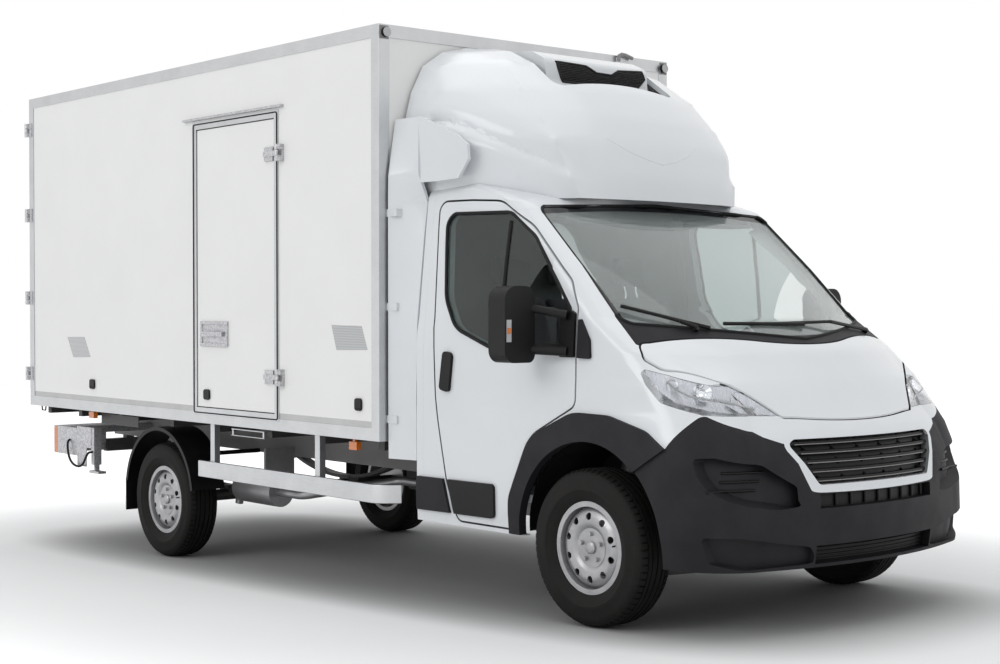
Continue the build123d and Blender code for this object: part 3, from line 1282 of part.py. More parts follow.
def box_subframe():
    """Two long members on the rails and the bearers that reach out from them under the box floor."""
    floor_low = BOX_BOTTOM_Z + PROFILE_SKIN
    inner_y = RAIL_Y - RAIL_WIDTH / 2
    outer_y = RAIL_Y + RAIL_WIDTH / 2 - 8
    pieces = []
    for side in (-1, 1):
        pieces.append(block(RAIL_REAR_X, BOX_FRONT_X - PROFILE_LEG, side * inner_y, side * outer_y, RAIL_TOP_Z, floor_low))
        for x in BOX_BEARERS:
            pieces.append(block(x - 25, x + 25, side * (outer_y + SEAT_GAP), side * BEARER_HALF_WIDTH,
                                BEARER_LOW_Z, floor_low))
    middle = inner_y - SEAT_GAP
    for x in BOX_BEARERS:
        pieces.append(block(x - 25, x + 25, -middle, middle, BEARER_LOW_Z, floor_low))
    return pieces


def shift_x():
    """How far everything moves forward, so that the origin is under the middle of the truck."""
    angle = math.radians(RAKE)
    nose = max(row[1] * math.cos(angle) + (row[0] - TYRE_RADIUS) * math.sin(angle) for row in CAB_SECTIONS)
    tail_x = REAR_DOOR_AXIS[0] - HINGE_BARREL
    tail_z = REAR_HINGE_Z[0] - HINGE_HEIGHT / 2
    tail = tail_x * math.cos(angle) + (tail_z - TYRE_RADIUS) * math.sin(angle)
    return -(nose + tail) / 2


def build():
    """Every node's solid in place, with the body that it belongs to."""
    nodes = {}

    def add(name, body, shape, sprung=True):
        placed = [Pos(shift_x(), 0, 0) * (tipped(solid) if sprung else solid) for solid in shape.solids()]
        nodes[name] = (body, placed[0] if len(placed) == 1 else Compound(children=placed))

    cab = cab_parts()
    for name in ("cab_shell", "windscreen", "cowl_panel", "headlamps", "front_bumper", "grille",
                 "wheel_arch_flares", "wheel_arch_liners"):
        add(name, "root", cab[name])
    add("bonnet_panel", "bonnet", cab["bonnet_panel"])
    trim = cab.pop("door_right_mirror_and_trim")
    for side, flip in (("right", False), ("left", True)):
        body = f"door_{side}"
        for part, shape in (("panel", cab["door_right_panel"]), ("glass", cab["door_right_glass"]),
                            ("mirror_and_trim", trim)):
            add(f"{body}_{part}", body, mirrored(shape) if flip else shape)
    add("dashboard", "root", dashboard())
    add("seats", "root", group(seat(150, 650, 1), seat(-700, 120, 2)))
    add("roof_deflector", "root", roof_deflector())
    fairing = side_fairing()
    add("side_fairings", "root", both(fairing))
    add("refrigeration_unit", "root", group(condensing_unit()))
    for name, shape in box_body().items():
        body = {"rear_door_left_leaf": "rear_door_left", "rear_door_right_leaf": "rear_door_right",
                "side_door_leaf": "side_door"}.get(name, "root")
        add(name, body, shape)
    add("box_edge_profiles", "root", edge_profiles())
    rail, tow_plate = frame_rails()
    add("frame_rails", "root", both(rail))
    add("chassis_members", "root", group(cross_members(), tow_plate, underrun_bar()))
    add("box_subframe", "root", group(box_subframe()))
    add("fuel_tank", "root", fuel_tank())
    add("exhaust", "root", exhaust())
    add("side_guards", "root", both(side_guards()))
    add("rear_mudguards", "root", both(rear_mudguard()))
    add("lamp_brackets", "root", both(lamp_brackets()))
    add("rear_lamps", "root", both(rear_lamp()))
    add("lamp_lead", "root", lamp_lead())
    markers = side_markers()
    add("marker_lamps", "root", group(markers, [mirrored(piece) for piece in markers]))
    leaf_parts, wall_parts = side_door_fittings()
    add("side_door_hinges_and_lock", "side_door", group(leaf_parts))
    rear_leaf, rear_frame = rear_door_fittings()
    add("rear_door_left_hinges_and_bar", "rear_door_left", group(rear_leaf))
    add("rear_door_right_hinges_and_bar", "rear_door_right", group([mirrored(piece) for piece in rear_leaf]))
    add("hinge_plates", "root", group(wall_parts, rear_frame, [mirrored(piece) for piece in rear_frame]))
    skin = cab_hull(-SEAT_GAP)
    add("wipers", "root", group([largest(wiper(*row) - skin) for row in WIPERS]))
    add("engine_block", "root", block(ENGINE_REAR_X, 760, -300, 300, ENGINE_LOW_Z, 860))

    suspension, towers = front_suspension()
    add("front_suspension", "root", group(suspension, towers), sprung=False)
    add("rear_axle", "root", rear_axle(), sprung=False)
    left_knuckle = knuckle()
    add("knuckle_left", "knuckle_left", left_knuckle, sprung=False)
    add("knuckle_right", "knuckle_right", mirrored(left_knuckle), sprung=False)
    for end, x, y in (("front", 0, FRONT_WHEEL_Y), ("rear", -WHEELBASE, REAR_WHEEL_Y)):
        for name, side in (("left", 1), ("right", -1)):
            rim, tyre = wheel(side, x, side * y)
            body = f"wheel_{end}_{name}"
            add(f"{body}_rim", body, rim, sprung=False)
            add(f"{body}_tyre", body, tyre, sprung=False)
    return nodes


if __name__ == "__main__":
    os.makedirs("parts", exist_ok=True)
    for name, (body, piece) in build().items():
        export_step(piece, f"parts/{name}.step")
        print(name, body, piece.is_valid, len(piece.solids()), [round(s.volume / 1e6, 2) for s in piece.solids()])
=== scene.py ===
import bpy
import bmesh
import json
import math
from mathutils import Matrix, Vector
from mathutils.bvhtree import BVHTree


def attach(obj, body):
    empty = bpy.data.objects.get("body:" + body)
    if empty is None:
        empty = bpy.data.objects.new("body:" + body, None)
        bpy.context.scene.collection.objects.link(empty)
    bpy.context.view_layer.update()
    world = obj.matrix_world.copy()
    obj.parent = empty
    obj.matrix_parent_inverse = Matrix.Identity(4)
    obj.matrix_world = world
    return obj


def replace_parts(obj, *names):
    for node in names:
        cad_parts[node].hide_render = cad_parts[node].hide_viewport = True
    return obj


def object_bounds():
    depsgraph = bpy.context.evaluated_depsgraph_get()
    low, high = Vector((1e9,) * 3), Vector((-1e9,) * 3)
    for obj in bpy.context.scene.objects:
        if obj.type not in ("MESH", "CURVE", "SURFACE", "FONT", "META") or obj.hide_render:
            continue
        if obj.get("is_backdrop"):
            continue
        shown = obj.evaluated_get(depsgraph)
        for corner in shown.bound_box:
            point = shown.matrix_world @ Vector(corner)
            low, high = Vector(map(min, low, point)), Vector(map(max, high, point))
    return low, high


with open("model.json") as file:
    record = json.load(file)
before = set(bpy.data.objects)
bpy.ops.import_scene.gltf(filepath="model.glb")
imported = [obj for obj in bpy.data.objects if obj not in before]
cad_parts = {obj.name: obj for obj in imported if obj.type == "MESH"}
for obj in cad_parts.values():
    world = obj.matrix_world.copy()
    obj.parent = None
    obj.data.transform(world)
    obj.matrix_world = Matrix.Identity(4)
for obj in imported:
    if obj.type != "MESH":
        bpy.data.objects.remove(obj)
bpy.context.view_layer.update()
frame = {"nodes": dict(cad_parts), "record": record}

nodes = frame["nodes"]
slots = {row["node"]: row["material_slot"] for row in frame["record"]["subparts"]}
body_of = {node: body for body, names in frame["record"]["behaviour"]["bodies"].items() for node in names}

# The body stands level in its own frame, in millimetres from the ground under the front axle,
# and is tipped nose-down about the front hubs. The truck's middle lies SHIFT behind that axle.
RAKE = math.radians(1.927)
HUB_Z = 0.372
SHIFT = 2.426690
WHEELBASE = 4.035
TRACKS = {"front": 0.905, "rear": 0.895}


def ground(x, y, z):
    """Point in metres of a place over the ground."""
    return Vector((x / 1000 + SHIFT, y / 1000, z / 1000))


def tip(x, y, z):
    """Point in metres of a place in the level body frame."""
    along = x / 1000
    height = z / 1000 - HUB_Z
    return Vector((along * math.cos(RAKE) + height * math.sin(RAKE) + SHIFT, y / 1000,
                   height * math.cos(RAKE) - along * math.sin(RAKE) + HUB_Z))


def level(point):
    """Place in the level body frame, in millimetres, of a point in metres."""
    along = point.x - SHIFT
    height = point.z - HUB_Z
    return Vector(((along * math.cos(RAKE) - height * math.sin(RAKE)) * 1000, point.y * 1000,
                   (height * math.cos(RAKE) + along * math.sin(RAKE) + HUB_Z) * 1000))


# Materials

class Amount:
    """One output of a material's tree, with Python's operators."""

    def __init__(self, finish, socket):
        self.finish = finish
        self.socket = socket

    def maths(self, operation, other=0.0):
        return self.finish.node("ShaderNodeMath", {"operation": operation}, {0: self, 1: other})

    def __add__(self, other):
        return self.maths("ADD", other)

    def __mul__(self, other):
        return self.maths("MULTIPLY", other)

    def __truediv__(self, other):
        return self.maths("DIVIDE", other)

    def __gt__(self, other):
        return self.maths("GREATER_THAN", other)

    def __abs__(self):
        return self.maths("ABSOLUTE")

    def sine(self):
        return self.maths("SINE")

    def least(self, other):
        return self.maths("MINIMUM", other)

    def ramp(self, low, high, out_low=0.0, out_high=1.0):
        return self.finish.node("ShaderNodeMapRange", {"interpolation_type": "SMOOTHSTEP"},
                                {"Value": self, "From Min": low, "From Max": high,
                                 "To Min": out_low, "To Max": out_high})


class Nodes:
    """A tree of a material or of the world."""

    def __init__(self, tree):
        self.tree = tree

    def node(self, kind, settings=None, values=None, output=0):
        node = self.tree.nodes.new(kind)
        for name, setting in (settings or {}).items():
            setattr(node, name, setting)
        for name, value in (values or {}).items():
            if isinstance(value, Amount):
                self.tree.links.new(value.socket, node.inputs[name])
            else:
                node.inputs[name].default_value = value
        return Amount(self, node.outputs[output]) if node.outputs else None

    def seen(self):
        """1 for rays from the camera, and for those that metal or glass send on."""
        rays = self.node("ShaderNodeLightPath").socket.node.outputs
        camera = Amount(self, rays["Is Camera Ray"])
        glossy = Amount(self, rays["Is Glossy Ray"])
        return (camera + glossy + Amount(self, rays["Is Transmission Ray"])).least(1.0)

    def mix(self, share, first, second):
        def colour(value):
            return value if isinstance(value, Amount) else (*value, 1.0)
        values = {0: share, 6: colour(first), 7: colour(second)}
        return self.node("ShaderNodeMix", {"data_type": "RGBA"}, values, output=2)

    def shader_mix(self, share, first, second):
        return self.node("ShaderNodeMixShader", {}, {0: share, 1: first, 2: second})


class Finish(Nodes):
    """A material with one Principled shader."""

    def __init__(self, name, **constants):
        self.material = bpy.data.materials.new(name)
        self.material.use_nodes = True
        super().__init__(self.material.node_tree)
        self.shader = self.tree.nodes["Principled BSDF"]
        self.place = self.node("ShaderNodeTexCoord", output="Object")
        split = self.node("ShaderNodeSeparateXYZ", {}, {0: self.place}).socket.node
        self.x, self.y, self.z = (Amount(self, split.outputs[index]) for index in range(3))
        for constant, value in constants.items():
            self.shader.inputs[constant.replace("_", " ")].default_value = value

    def noise(self, scale, detail=3.0, rough=0.5, stretch=(1, 1, 1)):
        place = self.node("ShaderNodeMapping", {}, {"Vector": self.place, "Scale": stretch})
        values = {"Vector": place, "Scale": scale, "Detail": detail, "Roughness": rough}
        return self.node("ShaderNodeTexNoise", {}, values)

    def cells(self, scale):
        return self.node("ShaderNodeTexVoronoi", {}, {"Vector": self.place, "Scale": scale})

    def set(self, **links):
        for name, value in links.items():
            self.tree.links.new(value.socket, self.shader.inputs[name.replace("_", " ")])

    def bump(self, height, distance):
        self.set(Normal=self.node("ShaderNodeBump", {}, {"Height": height, "Distance": distance}))

    def plain(self, colour, rough):
        """Another shader, of one colour."""
        return self.node("ShaderNodeBsdfPrincipled", {}, {"Base Color": (*colour, 1), "Roughness": rough})


def between(share, low, high):
    """Amount that goes from low to high as a share goes from 0 to 1."""
    return share * (high - low) + low


# Height above the ground, in metres, where road film starts to thin out and where it ends
FILM_FULL_Z = 0.3
FILM_END_Z = 1.2


def painted(name, light, dark, rough=(0.2, 0.3), coat=0.4, peel=0.00003, film=0.3):
    """Smooth paint with a faint cloudiness, road film low down and a trace of orange peel."""
    finish = Finish(name, Coat_Weight=coat, Coat_Roughness=0.06, IOR=1.48)
    cloud = finish.noise(scale=2.5, detail=4.0, rough=0.55)
    dust = finish.z.ramp(FILM_FULL_Z, FILM_END_Z, film, 0.0) * finish.noise(scale=9.0, detail=5.0, rough=0.6)
    shade = (cloud.ramp(0.3, 0.75) * 0.5 + dust).least(1.0)
    finish.set(Base_Color=finish.mix(shade, light, dark), Roughness=between(cloud, *rough) + dust * 0.3)
    finish.bump(finish.noise(scale=240.0, detail=2.0), peel)
    return finish.material


def grained(name, light, dark, rough=(0.5, 0.66), grain=850.0, depth=0.0001):
    """Moulded plastic with a fine leather-like grain."""
    finish = Finish(name, IOR=1.32)
    cloud = finish.noise(scale=5.0, detail=4.0, rough=0.6)
    finish.set(Base_Color=finish.mix(cloud.ramp(0.3, 0.75), light, dark), Roughness=between(cloud, *rough))
    finish.bump(finish.cells(grain) + finish.noise(scale=420.0, detail=2.0) * 0.5, depth)
    return finish.material


def drawn_metal(name, light, dark, rough=(0.3, 0.46), metallic=1.0, stretch=(1, 40, 40), depth=0.00002):
    """Metal with streaks along one direction."""
    finish = Finish(name, Metallic=metallic)
    streak = finish.noise(scale=14.0, detail=5.0, rough=0.65, stretch=stretch)
    shade = (streak * 0.6 + finish.noise(scale=6.0, detail=4.0, rough=0.6) * 0.4).ramp(0.3, 0.7)
    finish.set(Base_Color=finish.mix(shade, light, dark), Roughness=between(streak, *rough))
    finish.bump(streak, depth)
    return finish.material


def galvanised(name, light, dark):
    """Zinc with its spangle."""
    finish = Finish(name, Metallic=0.85)
    spangle = finish.cells(70.0)
    finish.set(Base_Color=finish.mix(spangle.ramp(0.1, 0.8), light, dark), Roughness=spangle * 0.25 + 0.35)
    finish.bump(spangle, 0.00003)
    return finish.material


def dusty_glass(name, tint, rough):
    """Finish of tinted glass with a faint dust."""
    finish = Finish(name, Transmission_Weight=1.0, IOR=1.45)
    dust = finish.noise(scale=3.0, detail=4.0, rough=0.6).ramp(0.5, 0.9, 0.0, 0.06)
    finish.set(Base_Color=finish.mix(dust, tint, (0.75, 0.76, 0.75)), Roughness=dust * 0.05 + rough)
    return finish


def glazing(name, tint, rough=0.01):
    """Glass of the doors, mirrors and lamps."""
    return dusty_glass(name, tint, rough).material


SCREEN_BAND_HIGH = 2.012
SCREEN_BAND_BOW = 0.05
SCREEN_BAND_SIDE = 0.845
# Share of a pale shader mixed into the screen glass: a painted reflection of the sky
SCREEN_SKY_REFLECTION = 0.16


def screen_glass(name, tint):
    """Screen glass with a pale painted reflection of the sky and a black band along its upper edge and sides.
    """
    finish = dusty_glass(name, tint, 0.005)
    # film is a pale shader that is a painted reflection of the sky on the screen
    film = finish.plain((0.62, 0.68, 0.67), 0.3)
    black = finish.plain((0.006, 0.006, 0.007), 0.12)
    upper = (finish.z + finish.y * finish.y * SCREEN_BAND_BOW) > SCREEN_BAND_HIGH
    band = (upper + (abs(finish.y) > SCREEN_BAND_SIDE)).least(1.0)
    clear = Amount(finish, finish.shader.outputs[0])
    shown = finish.shader_mix(band, finish.shader_mix(SCREEN_SKY_REFLECTION, clear, film), black)
    finish.tree.links.new(shown.socket, finish.tree.nodes["Material Output"].inputs["Surface"])
    return finish.material


def lens(name, colour, transmission=0.25):
    """Lamp lens with small square optics."""
    finish = Finish(name, Coat_Weight=0.8, Coat_Roughness=0.04, Transmission_Weight=transmission)
    optics = (finish.y * OPTICS).sine() * (finish.z * OPTICS).sine() * 0.5 + 0.5
    finish.set(Base_Color=finish.mix(optics, colour, tuple(share * 0.6 for share in colour)),
               Roughness=optics * 0.08 + 0.1)
    finish.bump(optics, 0.0002)
    return finish.material


def rubber(name, light, dark):
    """Dull rubber, dusty and faintly mottled."""
    finish = Finish(name, IOR=1.3)
    cloud = finish.noise(scale=12.0, detail=5.0, rough=0.65)
    finish.set(Base_Color=finish.mix(cloud.ramp(0.35, 0.8), light, dark), Roughness=cloud * 0.2 + 0.6)
    finish.bump(finish.noise(scale=500.0, detail=3.0), 0.0001)
    return finish.material


def woven(name, light, dark):
    """Seat cloth of two crossing threads with a melange."""
    finish = Finish(name, Sheen_Weight=0.25, Sheen_Roughness=0.5)
    threads = abs((finish.y * THREADS).sine()) * abs(((finish.z + finish.x) * THREADS).sine())
    melange = finish.noise(scale=60.0, detail=4.0, rough=0.7)
    finish.set(Base_Color=finish.mix((threads * 0.6 + melange * 0.5).ramp(0.1, 0.9), dark, light),
               Roughness=melange * 0.1 + 0.82)
    finish.bump(threads, 0.0004)
    return finish.material


# Radians to a metre of the lens optics and of the threads
OPTICS = 700.0
THREADS = 2600.0
DARK_STEEL = ((0.45, 0.6), 0.1, 0.0001)
# The function that makes each material, and its values
RECIPES = {
    "white_paint": (painted, (0.70, 0.72, 0.74), (0.66, 0.68, 0.70), (0.2, 0.3), 0.4, 0.00003, 0.06),
    "box_white": (painted, (0.80, 0.80, 0.79), (0.76, 0.76, 0.75), (0.3, 0.42), 0.2, 0.00005, 0.05),
    "dark_plastic": (grained, (0.014, 0.0135, 0.016), (0.009, 0.0085, 0.011)),
    "black_plastic": (grained, (0.006, 0.006, 0.0065), (0.0035, 0.0035, 0.004), (0.38, 0.5)),
    "glass": (glazing, (0.42, 0.50, 0.48)),
    "screen_glass": (screen_glass, (0.84, 0.89, 0.88)),
    "lamp_glass": (glazing, (0.95, 0.96, 0.98), 0.005),
    "aluminium": (drawn_metal, (0.60, 0.61, 0.62), (0.50, 0.51, 0.52)),
    "zinc_steel": (galvanised, (0.60, 0.60, 0.61), (0.44, 0.44, 0.46)),
    "chrome": (drawn_metal, (0.86, 0.87, 0.88), (0.78, 0.79, 0.80), (0.05, 0.12)),
    "steel_dark": (painted, (0.035, 0.035, 0.036), (0.06, 0.058, 0.055), *DARK_STEEL),
    "steel_grey": (painted, (0.20, 0.19, 0.19), (0.27, 0.26, 0.25), *DARK_STEEL),
    "steel_silver": (drawn_metal, (0.44, 0.44, 0.45), (0.34, 0.34, 0.35), (0.3, 0.42), 0.7, (1, 1, 1)),
    "lamp_silver": (drawn_metal, (0.66, 0.67, 0.69), (0.50, 0.51, 0.53), (0.22, 0.34), 0.9, (1, 12, 1)),
    "tyre": (rubber, (0.006, 0.0055, 0.005), (0.012, 0.011, 0.010)),
    "lead_rubber": (rubber, (0.012, 0.012, 0.012), (0.02, 0.02, 0.02)),
    "seal_rubber": (rubber, (0.010, 0.010, 0.011), (0.018, 0.018, 0.018)),
    "seat_fabric": (woven, (0.11, 0.11, 0.12), (0.035, 0.035, 0.04)),
    "interior": (grained, (0.20, 0.21, 0.21), (0.15, 0.16, 0.16), (0.55, 0.7), 300.0, 0.00005),
    "red_lens": (lens, (0.55, 0.02, 0.02)),
    "orange_lens": (lens, (0.95, 0.24, 0.01)),
    "white_lens": (lens, (0.85, 0.86, 0.87), 0.4),
    "reflector": (lens, (0.52, 0.53, 0.54), 0.0),
    "floor": (drawn_metal, (0.5, 0.5, 0.5), (0.42, 0.42, 0.42), (0.35, 0.5)),
}
MATERIALS = {name: make(name, *values) for name, (make, *values) in RECIPES.items()}


# Making pieces

# Edges sharper than this are rounded, and bound the faces that may be smoothed
RIM_ANGLE = math.radians(38)
MERGE_GAP = 0.00002
BOX_SIDES = ((0, 1, 3, 2), (4, 6, 7, 5), (0, 4, 5, 1), (2, 3, 7, 6), (0, 2, 6, 4), (1, 5, 7, 3))


def linked(name, mesh):
    obj = bpy.data.objects.new(name, mesh)
    bpy.context.scene.collection.objects.link(obj)
    return obj


def paint(obj, *materials):
    obj.data.materials.clear()
    for material in materials:
        obj.data.materials.append(MATERIALS[material])


def reworked(mesh, change):
    """The mesh after a change to its bmesh."""
    work = bmesh.new()
    work.from_mesh(mesh)
    change(work)
    work.to_mesh(mesh)
    work.free()
    return mesh


def smooth(mesh, angle):
    """Smooth shading with sharp edges above an angle."""
    work = bmesh.new()
    work.from_mesh(mesh)
    limit = math.radians(angle)
    for face in work.faces:
        face.smooth = True
    for edge in work.edges:
        edge.smooth = len(edge.link_faces) == 2 and edge.calc_face_angle(0.0) < limit
    work.to_mesh(mesh)
    work.free()


def piece(name, mesh, material, body, bevel=0.0, replaces=None, angle=32.0):
    """A finished piece that rides on a body and may stand in for a CAD node."""
    obj = linked(name, mesh)
    smooth(mesh, angle)
    if not mesh.materials:
        paint(obj, material)
    if bevel:
        rounding = obj.modifiers.new("edges", "BEVEL")
        rounding.width = bevel
        rounding.segments = 2
        rounding.limit_method = "ANGLE"
        rounding.angle_limit = RIM_ANGLE
        rounding.harden_normals = True
    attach(obj, body)
    if replaces:
        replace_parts(obj, replaces)
    return obj


def node_mesh(name):
    """Merged copy of a CAD node's mesh."""
    mesh = nodes[name].data.copy()
    mesh.materials.clear()
    return reworked(mesh, lambda work: bmesh.ops.remove_doubles(work, verts=work.verts, dist=MERGE_GAP))


def dress(name, bevel=0.0, angle=32.0, zones=None, mesh=None):
    """Stands a smooth-shaded copy in for a CAD node; zones maps a face to the index of its material."""
    mesh = mesh or node_mesh(name)
    obj = piece(name + "_finish", mesh, slots[name], body_of[name], bevel, name, angle)
    if zones:
        materials, choose = zones
        paint(obj, *materials)
        for polygon in mesh.polygons:
            polygon.material_index = choose(level(polygon.center), polygon.normal)
    return obj


def meshed(name, points, faces):
    """Mesh of points and faces, with its normals outwards."""
    mesh = bpy.data.meshes.new(name)
    mesh.from_pydata([tuple(point) for point in points], [], faces)
    return reworked(mesh, lambda work: bmesh.ops.recalc_face_normals(work, faces=work.faces))


def evaluated(obj):
    """Plain mesh of an object with its modifiers applied."""
    bpy.context.view_layer.update()
    return bpy.data.meshes.new_from_object(obj.evaluated_get(bpy.context.evaluated_depsgraph_get()))


def box_mesh(name, rows):
    """Boxes between corners x0, x1, y0, y1, z0, z1 in the level body frame."""
    points = []
    faces = []
    for x0, x1, y0, y1, z0, z1 in rows:
        base = len(points)
        points += [tip(x, y, z) for x in (x0, x1) for y in (y0, y1) for z in (z0, z1)]
        faces += [tuple(base + corner for corner in side) for side in BOX_SIDES]
    return meshed(name, points, faces)


def boxes(name, rows, material, body, bevel=0.0):
    """Boxes as one piece."""
    return piece(name, box_mesh(name, rows), material, body, bevel)


def prism(outline, depth, base=0):
    """Points and faces of a plate: an outline of points in metres, and the vector to its other face."""
    count = len(outline)
    faces = [tuple(range(base, base + count)), tuple(range(base + 2 * count - 1, base + count - 1, -1))]
    faces += [(base + i, base + (i + 1) % count, base + count + (i + 1) % count, base + count + i)
              for i in range(count)]
    return list(outline) + [point + depth for point in outline], faces


def slabs(name, rows, material, body, bevel=0.0):
    """Plates, each an outline and a vector, as one piece."""
    points = []
    faces = []
    for outline, depth in rows:
        more_points, more_faces = prism(outline, depth, len(points))
        points += more_points
        faces += more_faces
    return piece(name, meshed(name, points, faces), material, body, bevel)


def tubes(name, lines, radius, material, body, closed=False):
    """Round bars along lines of points in metres, as one piece. Points that missed the skin are None."""
    curve = bpy.data.curves.new(name, "CURVE")
    curve.dimensions = "3D"
    curve.bevel_depth = radius
    curve.bevel_resolution = 3
    curve.use_fill_caps = True
    for line in lines:
        found = [point for point in line if point]
        if len(found) < 2:
            continue
        spline = curve.splines.new("POLY")
        spline.points.add(len(found) - 1)
        for point, place in zip(spline.points, found):
            point.co = (*place, 1)
        spline.use_cyclic_u = closed
    holder = linked(name + "_path", curve)
    mesh = evaluated(holder)
    bpy.data.objects.remove(holder)
    return piece(name, mesh, material, body, angle=50.0)


def lathe(profile, centre, side, steps=96):
    """Closed ring about an axis along Y: profile is radius and distance outwards, in metres."""
    points = []
    faces = []
    count = len(profile)
    for step in range(steps):
        angle = 2 * math.pi * step / steps
        for radius, out in profile:
            points.append(centre + Vector((radius * math.cos(angle), side * out, radius * math.sin(angle))))
    for step in range(steps):
        following = (step + 1) % steps
        for index in range(count):
            after = (index + 1) % count
            faces.append((step * count + index, step * count + after,
                          following * count + after, following * count + index))
    return meshed("ring", points, faces)


def joined(meshes):
    """One mesh of several."""
    work = bmesh.new()
    for mesh in meshes:
        work.from_mesh(mesh)
    result = bpy.data.meshes.new("joined")
    work.to_mesh(result)
    work.free()
    return result


# Geometry Nodes that repeat a shape

def copies_tree(name, ring):
    """Tree that sets copies of a shape in a row, or on a ring about an axis along Y."""
    tree = bpy.data.node_groups.new(name, "GeometryNodeTree")
    sockets = {}
    kinds = {"Count": "NodeSocketInt", "Step": "NodeSocketVector", "Centre": "NodeSocketVector",
             "Material": "NodeSocketMaterial"}
    sockets["Shape"] = tree.interface.new_socket("Shape", in_out="INPUT", socket_type="NodeSocketGeometry")
    for label, kind in kinds.items():
        sockets[label] = tree.interface.new_socket(label, in_out="INPUT", socket_type=kind)
    tree.interface.new_socket("Copies", in_out="OUTPUT", socket_type="NodeSocketGeometry")

    def node(kind, settings=None, values=None):
        made = tree.nodes.new(kind)
        for label, setting in (settings or {}).items():
            setattr(made, label, setting)
        for label, value in (values or {}).items():
            if isinstance(value, bpy.types.NodeSocket):
                tree.links.new(value, made.inputs[label])
            else:
                made.inputs[label].default_value = value
        return made

    given = node("NodeGroupInput").outputs
    line = node("GeometryNodeMeshLine", {"mode": "OFFSET"},
                {"Count": given["Count"], "Offset": (0, 0, 0) if ring else given["Step"]})
    placed = node("GeometryNodeInstanceOnPoints", {}, {"Points": line.outputs[0], "Instance": given["Shape"]})
    if ring:
        part = node("ShaderNodeMath", {"operation": "DIVIDE"}, {0: math.tau, 1: given["Count"]})
        angle = node("ShaderNodeMath", {"operation": "MULTIPLY"},
                     {0: node("GeometryNodeInputIndex").outputs[0], 1: part.outputs[0]})
        turn = node("ShaderNodeCombineXYZ", {}, {"Y": angle.outputs[0]})
        tree.links.new(turn.outputs[0], placed.inputs["Rotation"])
    moved = node("GeometryNodeTranslateInstances", {},
                 {"Instances": placed.outputs[0], "Translation": given["Centre"], "Local Space": False})
    real = node("GeometryNodeRealizeInstances", {}, {0: moved.outputs[0]})
    painting = {"Geometry": real.outputs[0], "Material": given["Material"]}
    finished = node("GeometryNodeSetMaterial", {}, painting)
    tree.links.new(finished.outputs[0], node("NodeGroupOutput").inputs[0])
    return tree, {label: socket.identifier for label, socket in sockets.items()}


ROW = copies_tree("copies_in_a_row", False)
RING = copies_tree("copies_on_a_ring", True)


def copies(kind, shape, count, material, step=(0, 0, 0), centre=(0, 0, 0)):
    """Plain mesh of a shape repeated by one of the two trees."""
    tree, names = kind
    holder = linked("holder", shape)
    modifier = holder.modifiers.new("copies", "NODES")
    modifier.node_group = tree
    modifier[names["Count"]] = count
    modifier[names["Step"]] = tuple(step)
    modifier[names["Centre"]] = tuple(centre)
    modifier[names["Material"]] = MATERIALS[material]
    mesh = evaluated(holder)
    bpy.data.objects.remove(holder)
    return mesh


# Lines on the body's skin

SIDES = (("right", -1), ("left", 1))
BESIDE = 1500
AHEAD = 1500
BEHIND = -7500
SEAL_PITCH = 60
LONG_PITCH = 200


def skin_of(*names):
    """Search tree of the CAD nodes' outer faces."""
    points = []
    faces = []
    for name in names:
        mesh = nodes[name].data
        base = len(points)
        points += [vertex.co.copy() for vertex in mesh.vertices]
        faces += [tuple(base + index for index in polygon.vertices) for polygon in mesh.polygons]
    return BVHTree.FromPolygons(points, faces)


def met(skin, start, direction, proud):
    """Point where a ray meets a skin, a distance in millimetres off it, or None where it misses."""
    spot, normal = skin.ray_cast(start, direction)[:2]
    return spot + normal * proud / 1000 if spot else None


def from_side(skin, side, x, z, proud=0.0):
    """Point on the flank at x and z."""
    return met(skin, tip(x, side * BESIDE, z), Vector((0, -side, 0)), proud)


def from_front(skin, y, z, proud=0.0, start_x=AHEAD):
    """Point at y and z on the front, or on the rear where the ray starts behind the box."""
    start = tip(start_x, y, z)
    return met(skin, start, (tip(0, y, z) - start).normalized(), proud)


def rounded(corners, steps=6):
    """Outline through u, v, radius corners with its corners rounded."""
    outline = []
    count = len(corners)
    for index in range(count):
        here = Vector(corners[index][:2])
        before = (Vector(corners[index - 1][:2]) - here).normalized()
        after = (Vector(corners[(index + 1) % count][:2]) - here).normalized()
        half = before.angle(after) / 2
        radius = corners[index][2]
        if radius <= 0 or half > math.radians(88):
            outline.append(tuple(here))
            continue
        middle = here + (before + after).normalized() * radius / math.sin(half)
        start = here + before * radius / math.tan(half) - middle
        end = here + after * radius / math.tan(half) - middle
        for step in range(steps + 1):
            share = step / steps
            arm = (start * (1 - share) + end * share).normalized() * radius
            outline.append(tuple(middle + arm))
    return outline


def spread(outline, pitch):
    """Closed outline with points no further apart than a pitch."""
    points = []
    for index, start in enumerate(outline):
        end = outline[(index + 1) % len(outline)]
        parts = max(1, math.ceil(math.dist(start, end) / pitch))
        points += [tuple(a + (b - a) * part / parts for a, b in zip(start, end)) for part in range(parts)]
    return points


# Every CAD node, with its edges rounded and its faces painted

CAB_MIDDLE = Vector((-650, 0, 1230))
TOP_MARKER_Z = 2000
LAMP_OUTER_Y = 900
LAMP_INNER_Y = 720


def inward(place, normal):
    """1 where a face of the cab looks into the cab."""
    return 1 if normal.dot((place - CAB_MIDDLE).normalized()) < -0.35 else 0


def door_inward(place, normal):
    """1 where a face of a cab door looks into the cab."""
    return 1 if normal.y * place.y < 0 and abs(normal.y) > 0.4 else 0


def marker_zone(place, normal):
    """Orange low down; at the top of the box a white lens in a black body."""
    if place.z < TOP_MARKER_Z:
        return 0
    return 1 if abs(normal.x) > 0.7 else 2


def rear_lamp_zone(place, normal):
    """Orange at the outer end, white at the inner end and red between."""
    if abs(place.y) > LAMP_OUTER_Y:
        return 1
    return 2 if abs(place.y) < LAMP_INNER_Y else 0


